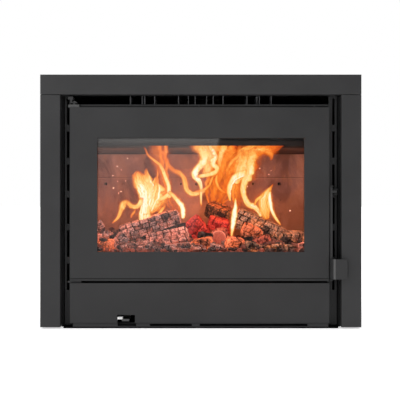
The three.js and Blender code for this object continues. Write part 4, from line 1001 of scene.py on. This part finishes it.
def ring(share, stations, wider, more, aside, seed):
    """A leaf's ring at one share of its length, in pixels: its middle, its side, half its width, its warmth."""
    x, y, half, heat = passing(stations, share)
    ahead = passing(stations, min(1, share + 0.01))
    behind = passing(stations, max(0, share - 0.01))
    way = Vector((ahead[0] - behind[0], ahead[1] - behind[1])).normalized()
    side = Vector((-way.y, way.x))
    half = max(half, least_half)
    wave = noise.noise(Vector((share * len(stations) * 0.9, seed * 3.3, 0.5)))
    ripple = noise.noise(Vector((share * len(stations) * 2.3, seed * 7.1, 2.5)))
    tips = min(1, share / root_share, (1 - share) / tip_share)
    wide = (half * wider + more * tips) * (1 + 0.35 * ripple * min(1, half / 5))
    shift = aside * half + wave * 0.35 + ripple * 0.2 * half
    warmth = max(0.0, heat) * min(1, share / 0.04, (1 - share) / 0.08)
    return Vector((x, y)) + side * shift, side, wide, warmth


def leaf(depth, stations, wider=1.0, more=0.0, warmth=1.0, aside=0.0, seed=0):
    """One closed leaf of gas along its stations; aside moves it across, as a share of its half width."""
    gas = bmesh.new()
    warmth_layer = gas.verts.layers.float.new("warmth")
    across_layer = gas.verts.layers.float.new("across")
    bmesh.ops.create_cone(gas, cap_ends=True, cap_tris=False, segments=flame_around, radius1=1, radius2=1, depth=1)
    long_edges = [e for e in gas.edges if abs(e.verts[0].co.z - e.verts[1].co.z) > 0.5]
    bmesh.ops.subdivide_edges(gas, edges=long_edges, cuts=flame_rings * (len(stations) - 1) - 1)
    rings = {}
    for vert in gas.verts:
        share = round(vert.co.z + 0.5, 5)
        if share not in rings:
            rings[share] = ring(share, stations, wider, more, aside, seed)
        middle, side, wide, heat = rings[share]
        vert[warmth_layer] = heat * warmth
        vert[across_layer] = vert.co.x
        pixel = middle + side * (vert.co.x * wide)
        thin = min(wide * photo_scale * flame_thin, flame_thickest)
        vert.co = photo_place(pixel.x, pixel.y, drawn_depth(pixel.y, depth) + vert.co.y * thin)
    bmesh.ops.recalc_face_normals(gas, faces=gas.faces)
    gather(flames, gas)


flame_dice = random.Random(3)
for number, (depth, *stations) in enumerate(flame_rows):
    broadest = max(half for _, _, half, _ in stations)
    leaf(depth, stations, wider=1.15, more=0.3, warmth=0.95, seed=number)
    leaf(depth + glow_behind, stations, wider=1.4, more=2.2, warmth=0.32, seed=number + 0.2)
    folds = round(broadest / 2.2) if broadest > 3 else 0
    for fold in range(folds):
        aside = flame_dice.uniform(-0.85, 0.85)
        leaf(
            depth - 0.003 - 0.001 * fold,
            stations,
            wider=flame_dice.uniform(0.08, 0.22),
            more=0.3,
            warmth=flame_dice.uniform(0.85, 1.35),
            aside=aside,
            seed=number + fold * 0.37 + 50,
        )
add_piece("flames", flames, burning_gas())

# The sparks
# Bits of burning bark carried up by the draught: places in the photograph's pixels, and how big.
spark_depth = 0.16
spark_radius = 0.0011
spark_stretch = (1.3, 0.9, 1, 1)
spark_rows = [
    (122.6, 148.8, 0.7), (127.5, 158.4, 0.9), (117.2, 166.5, 1.2), (121.4, 169.8, 0.7), (112.8, 175.6, 0.8),
    (117.6, 181.3, 0.7), (125.6, 180.9, 0.6), (113.4, 188.0, 1.3), (121.0, 191.4, 1.1), (118.7, 193.2, 0.7),
    (259.7, 168.4, 0.9), (271.1, 170.6, 0.7), (268.8, 174.4, 0.7), (247.4, 186.4, 0.7), (290.1, 210.7, 1.2),
]
sparks = bmesh.new()
for x, y, size in spark_rows:
    spot = Matrix.Translation(photo_place(x, y, spark_depth)) @ Matrix.Diagonal(spark_stretch)
    bmesh.ops.create_icosphere(sparks, subdivisions=1, radius=spark_radius * size, matrix=spot)
spark_finish, spark_spot, plug_spark = new_finish("spark", Roughness=1.0, Emission_Strength=4.5)
spark_heat = spark_spot.noise(300, 2)
plug_spark(Emission_Color=spark_heat.blend((1.0, 0.35, 0.18), (1.0, 0.75, 0.55)))
spark_finish.cycles.emission_sampling = "NONE"
add_piece("sparks", sparks, spark_finish)

# The fire's light
# Small warm lamps among the flames light the lining and the logs. They are no part of the fireplace.
# Each row: place in x, depth and z, power in watts, and colour.
fire_lamp_radius = 0.03
fire_lamps = [
    ((-0.150, 0.175, 0.320), 0.78, (1.0, 0.31, 0.12)),
    ((0.060, 0.180, 0.340), 0.74, (1.0, 0.30, 0.11)),
    ((-0.200, 0.070, 0.300), 0.36, (1.0, 0.58, 0.46)),
    ((0.000, 0.060, 0.330), 0.50, (1.0, 0.58, 0.44)),
    ((0.240, 0.070, 0.300), 0.52, (1.0, 0.52, 0.36)),
    ((0.060, 0.045, 0.235), 0.10, (1.0, 0.50, 0.34)),
]
for number, (spot, power, colour) in enumerate(fire_lamps):
    lamp_data = bpy.data.lights.new(f"fire_lamp_{number}", "POINT")
    lamp_data.energy = power
    lamp_data.color = colour
    lamp_data.shadow_soft_size = fire_lamp_radius
    fire_lamp = bpy.data.objects.new(f"fire_lamp_{number}", lamp_data)
    fire_lamp.location = (spot[0], front_y + spot[1], spot[2])
    fire_lamp.visible_glossy = False
    bpy.context.scene.collection.objects.link(fire_lamp)

# The surround
# Three folded trays of 2 mm sheet, hung on the recess's edge, with a hairline joint at each upper corner.
for node in ("surround_top", "surround_left", "surround_right"):
    dress(node, surround_paint, radius=0.0005, front=0.0016)
# The splice plates behind the corner joints take the casing's near-black paint so the joints read dark: painted
# shade.
for node in ("surround_splice_left", "surround_splice_right"):
    dress(node, casing_paint)

# The lower cover panel, the strip under it and the lip over the door
# Folded from the same sheet as the surround; the panel lifts off its hooks to reach the ash and air parts.
dress("lower_panel", door_paint, radius=0.0009)
dress("bottom_strip", door_paint, radius=0.0004)
# The lip's lower part, set back above the door's top edge, is painted near black: painted shade.
lip_paint_with_painted_shade = painted("lip_paint_with_painted_shade", 0.0290, 0.52, fold=(0.5545, 0.5592))
dress("header_lip", lip_paint_with_painted_shade, radius=0.0009)

# The door
# A 3 mm sheet front with rounded edges over a back frame.
# The band across the door's foot is a pressed hem painted near black: painted shade in it, which the bump also sinks
# a little.
hem = painted("door_front_paint", 0.0290, 0.52, fold=(0.1236, 0.1268))
dress("door_front", hem, "door", 0.0008)
for node in ("door_back_frame", "glass_retainer_top", "glass_retainer_bottom"):
    dress(node, body_paint, "door", 0.0005)
for node in ("latch_lug_upper", "latch_lug_lower", "hinge_leaf_lower"):
    dress(node, body_paint, "door", 0.0005)
dress("latch_bar", door_paint, "handle", 0.0006)
# The tab's bend is painted light, a painted highlight; its right edge is painted near black, a painted shadow for the
# shade it casts on the surround.
tab_paint = painted("tab_paint", 0.0290, 0.52, painted_light_strips=((0.3285, 0.3350, 0.10), (0.3630, 0.3680, 0.002)))
dress("handle_tab", tab_paint, "handle", 0.0008)

# The door's glass
# Clear glass ceramic, 4 mm thick, held by two retainers against a flat rope seal. It mirrors the room.
def clear_glass():
    material, place, show = surface_of_its_own("door_glass")
    clear = place.make("BsdfTransparent", {}, {"Color": (0.97, 0.96, 0.95, 1)})
    gloss = clear.make("BsdfAnisotropic", {}, {"Color": (1, 1, 1, 1), "Roughness": 0.03})
    aslant = clear.make("LayerWeight", {}, {"Blend": 0.5}, "Facing")
    facing = aslant**5 * 0.96 + 0.04
    smear = place.noise(9, 4, roughness=0.6, stretch=(1, 1, 0.6))
    amount = facing * (smear * 0.2 + 0.9)
    show(amount.make("MixShader", {}, {0: amount, 1: clear, 2: gloss}))
    return material


dress("door_glass", clear_glass(), "door")


# The rope seals
# Braided glass-fibre rope, pressed in the door's channel and under the glass.
def braided_rope():
    material, place, plug = new_finish("seal_rope", Specular_IOR_Level=0.15)
    braid = place.cells(420)
    wisp = place.noise(900, 3)
    plug(Base_Color=(braid * 0.7 + wisp * 0.5).between(0.2, 0.9).blend((0.10, 0.095, 0.09), (0.02, 0.019, 0.018)))
    plug(Roughness=wisp * 0.1 + 0.9)
    height = 1 - braid
    plug(Normal=height.bump(0.8, 0.001))
    return material


rope_finish = braided_rope()
door_rope_width = 0.011
glass_tape_width = 0.010
rope_corner = 0.016
braid_pitch = 0.0085
braid_depth = 0.16
braid_steps = 5
rope_around = 16


def on_loop(share, wide, tall, corner):
    """A place on a rounded rectangle round the origin, and the way that looks out of it there."""
    left = share % 1 * (2 * (wide + tall) + (math.tau - 8) * corner)
    for number, (run, rise) in enumerate(((wide, tall), (tall, wide)) * 2):
        straight = run - 2 * corner
        bend = min(max(left - straight, 0) / corner, math.pi / 2)
        out = Vector((math.sin(bend), -math.cos(bend)))
        place = Vector((min(left, straight) - straight / 2, corner - rise / 2)) + out * corner
        if left <= straight + corner * math.pi / 2:
            break
        left -= straight + corner * math.pi / 2
    turn = Matrix.Rotation(number * math.pi / 2, 2)
    return turn @ place, turn @ out


def rope_ring(name, middle, wide, tall, corner, width, depth, node=None):
    """A braided rope bent round into a ring, its ends pushed together. It stands in the door for a node,
    or lies round the flue."""
    braids = round((2 * (wide + tall) + (math.tau - 8) * corner) / braid_pitch)
    rope = bmesh.new()
    bmesh.ops.create_cone(rope, cap_ends=False, segments=rope_around, radius1=1, radius2=1, depth=1)
    long_edges = [e for e in rope.edges if abs(e.verts[0].co.z - e.verts[1].co.z) > 0.5]
    bmesh.ops.subdivide_edges(rope, edges=long_edges, cuts=braid_steps * braids - 1)
    for vert in rope.verts:
        share = vert.co.z + 0.5
        angle = math.atan2(vert.co.y, vert.co.x)
        lay = share * braids * math.pi
        strand = abs(math.sin(2 * angle + lay) * math.sin(2 * angle - lay))
        swell = 0.5 * (1 - braid_depth * (1 - strand))
        place, out = on_loop(share, wide, tall, corner)
        place += out * (math.cos(angle) * swell * width)
        vert.co = (place.x, math.sin(angle) * swell * depth, place.y)
    bmesh.ops.remove_doubles(rope, verts=rope.verts, dist=1e-6)
    put(rope, Matrix.Rotation(0 if node else math.pi / 2, 3, "X"), middle)
    bmesh.ops.recalc_face_normals(rope, faces=rope.faces)
    add_piece(name, rope, rope_finish, "door" if node else "cassette", node)


for node, form, width in (("door_seal", "rope", door_rope_width), ("glass_seal", "tape", glass_tape_width)):
    low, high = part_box(node)
    size = high - low
    rope_ring(
        f"{node}_{form}", (low + high) / 2, size.x - width, size.z - width, rope_corner, width, size.y, node
    )

flue_middle = Vector((0, front_y + 0.215, 0.5970))
flue_seal_reach = 0.0766
flue_rope_width = 0.0072
flue_size = 2 * flue_seal_reach
rope_ring("flue_seal", flue_middle, flue_size, flue_size, flue_seal_reach, flue_rope_width, flue_rope_width)

# Screws and rivets
# Pan-head screws hold the lip and the plate; dome rivets close the casing's corners.
def fixing(whole, place, out, radius, rise):
    """One round head on a face: out is the way that it looks."""
    head = bmesh.new()
    bmesh.ops.create_uvsphere(head, u_segments=head_sides, v_segments=head_rings, radius=radius)
    low = [v for v in head.verts if v.co.z < -1e-6]
    bmesh.ops.delete(head, geom=low, context="VERTS")
    rim = [e for e in head.edges if e.is_boundary]
    bmesh.ops.holes_fill(head, edges=rim, sides=head_sides)
    turn = Vector((0, 0, 1)).rotation_difference(Vector(out)).to_matrix()
    bmesh.ops.scale(head, vec=(1, 1, rise / radius), verts=head.verts)
    put(head, turn, Vector(place) + Vector((0, front_y, 0)))
    gather(whole, head)


head_sides = 12
head_rings = 6
lip_face = 0.0102
lip_screw_radius = 0.0023
plate_face = 0.0342
plate_screw_radius = 0.0024
screw_rise = 0.0011
lip_screws = [(0.2855, 0.5585), (-0.0045, 0.5585)]
plate_screws = [(0.3314, 0.5687), (-0.3314, 0.5400), (0.3314, 0.1340), (-0.3360, 0.0500), (0.3360, 0.0500)]
screws = bmesh.new()
screw_rows = ((lip_face, lip_screw_radius, lip_screws), (plate_face, plate_screw_radius, plate_screws))
for depth, radius, spots in screw_rows:
    for x, z in spots:
        fixing(screws, (x, depth, z), (0, -1, 0), radius, screw_rise)
add_piece("front_screws", screws, plate_paint)

back_face = 0.3978
side_face = 0.3498
top_face = 0.5978
back_row = 0.386
front_row = 0.042
rivet_radius = 0.0032
rivet_rise = 0.0014
rivet_heights = [0.045 + step * 0.0635 for step in range(9)]
rivet_places = [-0.30 + step * 0.1 for step in range(7)]
back_row_x = 0.338
upper_row = 0.586
heads = []
for z in rivet_heights:
    for side in (-1, 1):
        heads.append(((side * back_row_x, back_face, z), (0, 1, 0)))
        heads += [((side * side_face, depth, z), (side, 0, 0)) for depth in (back_row, front_row)]
for x in rivet_places:
    heads.append(((x, back_face, upper_row), (0, 1, 0)))
    heads += [((x, depth, top_face), (0, 0, 1)) for depth in (back_row, front_row)]
rivets = bmesh.new()
for place, out in heads:
    fixing(rivets, place, out, rivet_radius, rivet_rise)


def pressed_bead(whole, middle, wide, tall, out):
    """A raised frame, pressed in a panel to stiffen it: out is the way that the panel looks."""
    bead = bmesh.new()
    bmesh.ops.create_grid(bead, x_segments=1, y_segments=1, size=0.5)
    bmesh.ops.scale(bead, vec=(wide, tall, 1), verts=bead.verts)
    rim = bmesh.ops.inset_region(
        bead, faces=bead.faces[:], thickness=bead_width, use_boundary=True, use_even_offset=True
    )["faces"]
    bmesh.ops.delete(bead, geom=[f for f in bead.faces if f not in rim], context="FACES")
    grown = bmesh.ops.extrude_face_region(bead, geom=bead.faces[:], use_keep_orig=True)["geom"]
    top = [v for v in grown if isinstance(v, bmesh.types.BMVert)]
    bmesh.ops.translate(bead, vec=(0, 0, bead_rise), verts=top)
    bmesh.ops.recalc_face_normals(bead, faces=bead.faces)
    upper = [e for e in bead.edges if all(v.co.z > bead_rise / 2 for v in e.verts) and e.calc_face_angle(0) > 1]
    round_edges(bead, upper, bead_rise * 0.8, 3)
    turn = Vector((0, 0, 1)).rotation_difference(Vector(out)).to_matrix()
    if abs(out[0]) > 0.5:
        turn = turn @ Matrix.Rotation(math.pi / 2, 3, "Z")
    put(bead, turn, Vector(middle) + Vector((0, front_y, 0)))
    gather(whole, bead)


bead_width = 0.012
bead_rise = 0.0022
bead_frame = (0.27, 0.47)
bead_x = 0.165
bead_depth = 0.214
bead_z = 0.300
beads = bmesh.new()
for x in (-bead_x, bead_x):
    pressed_bead(beads, (x, back_face, bead_z), *bead_frame, (0, 1, 0))
for side in (-1, 1):
    pressed_bead(beads, (side * side_face, bead_depth, bead_z), *bead_frame, (side, 0, 0))
# Beads and rivets are painted lighter than the casing round them: a painted highlight on their raised faces.
raised_painted_highlight = painted("raised_painted_highlight", 0.049, 0.5)
add_piece("casing_beads", beads, raised_painted_highlight)
add_piece("casing_rivets", rivets, raised_painted_highlight)

# The bright metal
# Pins and the upper hinge leaf are left bare or plated steel; the air knob is near white with no metal, a painted
# highlight for its glint.
def bright(name, shade, roughness, metal=1.0):
    material, place, plug = new_finish(name, Metallic=metal)
    brush = place.noise(300, 3, stretch=(1, 1, 0.08))
    cloud = place.noise(60, 3)
    plug(Base_Color=(brush * 0.6 + cloud * 0.4).between(0.3, 0.7).blend((shade * 0.85,) * 3, (shade * 1.1,) * 3))
    plug(Roughness=brush * 0.15 + roughness)
    plug(Normal=brush.bump(0.2, 0.0002))
    return material


bright_finish = bright("bright_steel", 0.10, 0.45)
dress("hinge_pin_upper", bright_finish)
dress("hinge_pin_lower", bright_finish)
dress("hinge_leaf_upper", bright("leaf_steel", 0.055, 0.5, 0.2), "door", 0.0003)
# The knob's near-white colour is a painted highlight.
dress("air_knob", bright("knob_painted_highlight", 0.72, 0.4, 0.0), "air_control", 0.0006)
dress("air_shutter", bright("shutter_zinc", 0.085, 0.5, 0.4), "air_control", 0.0003)
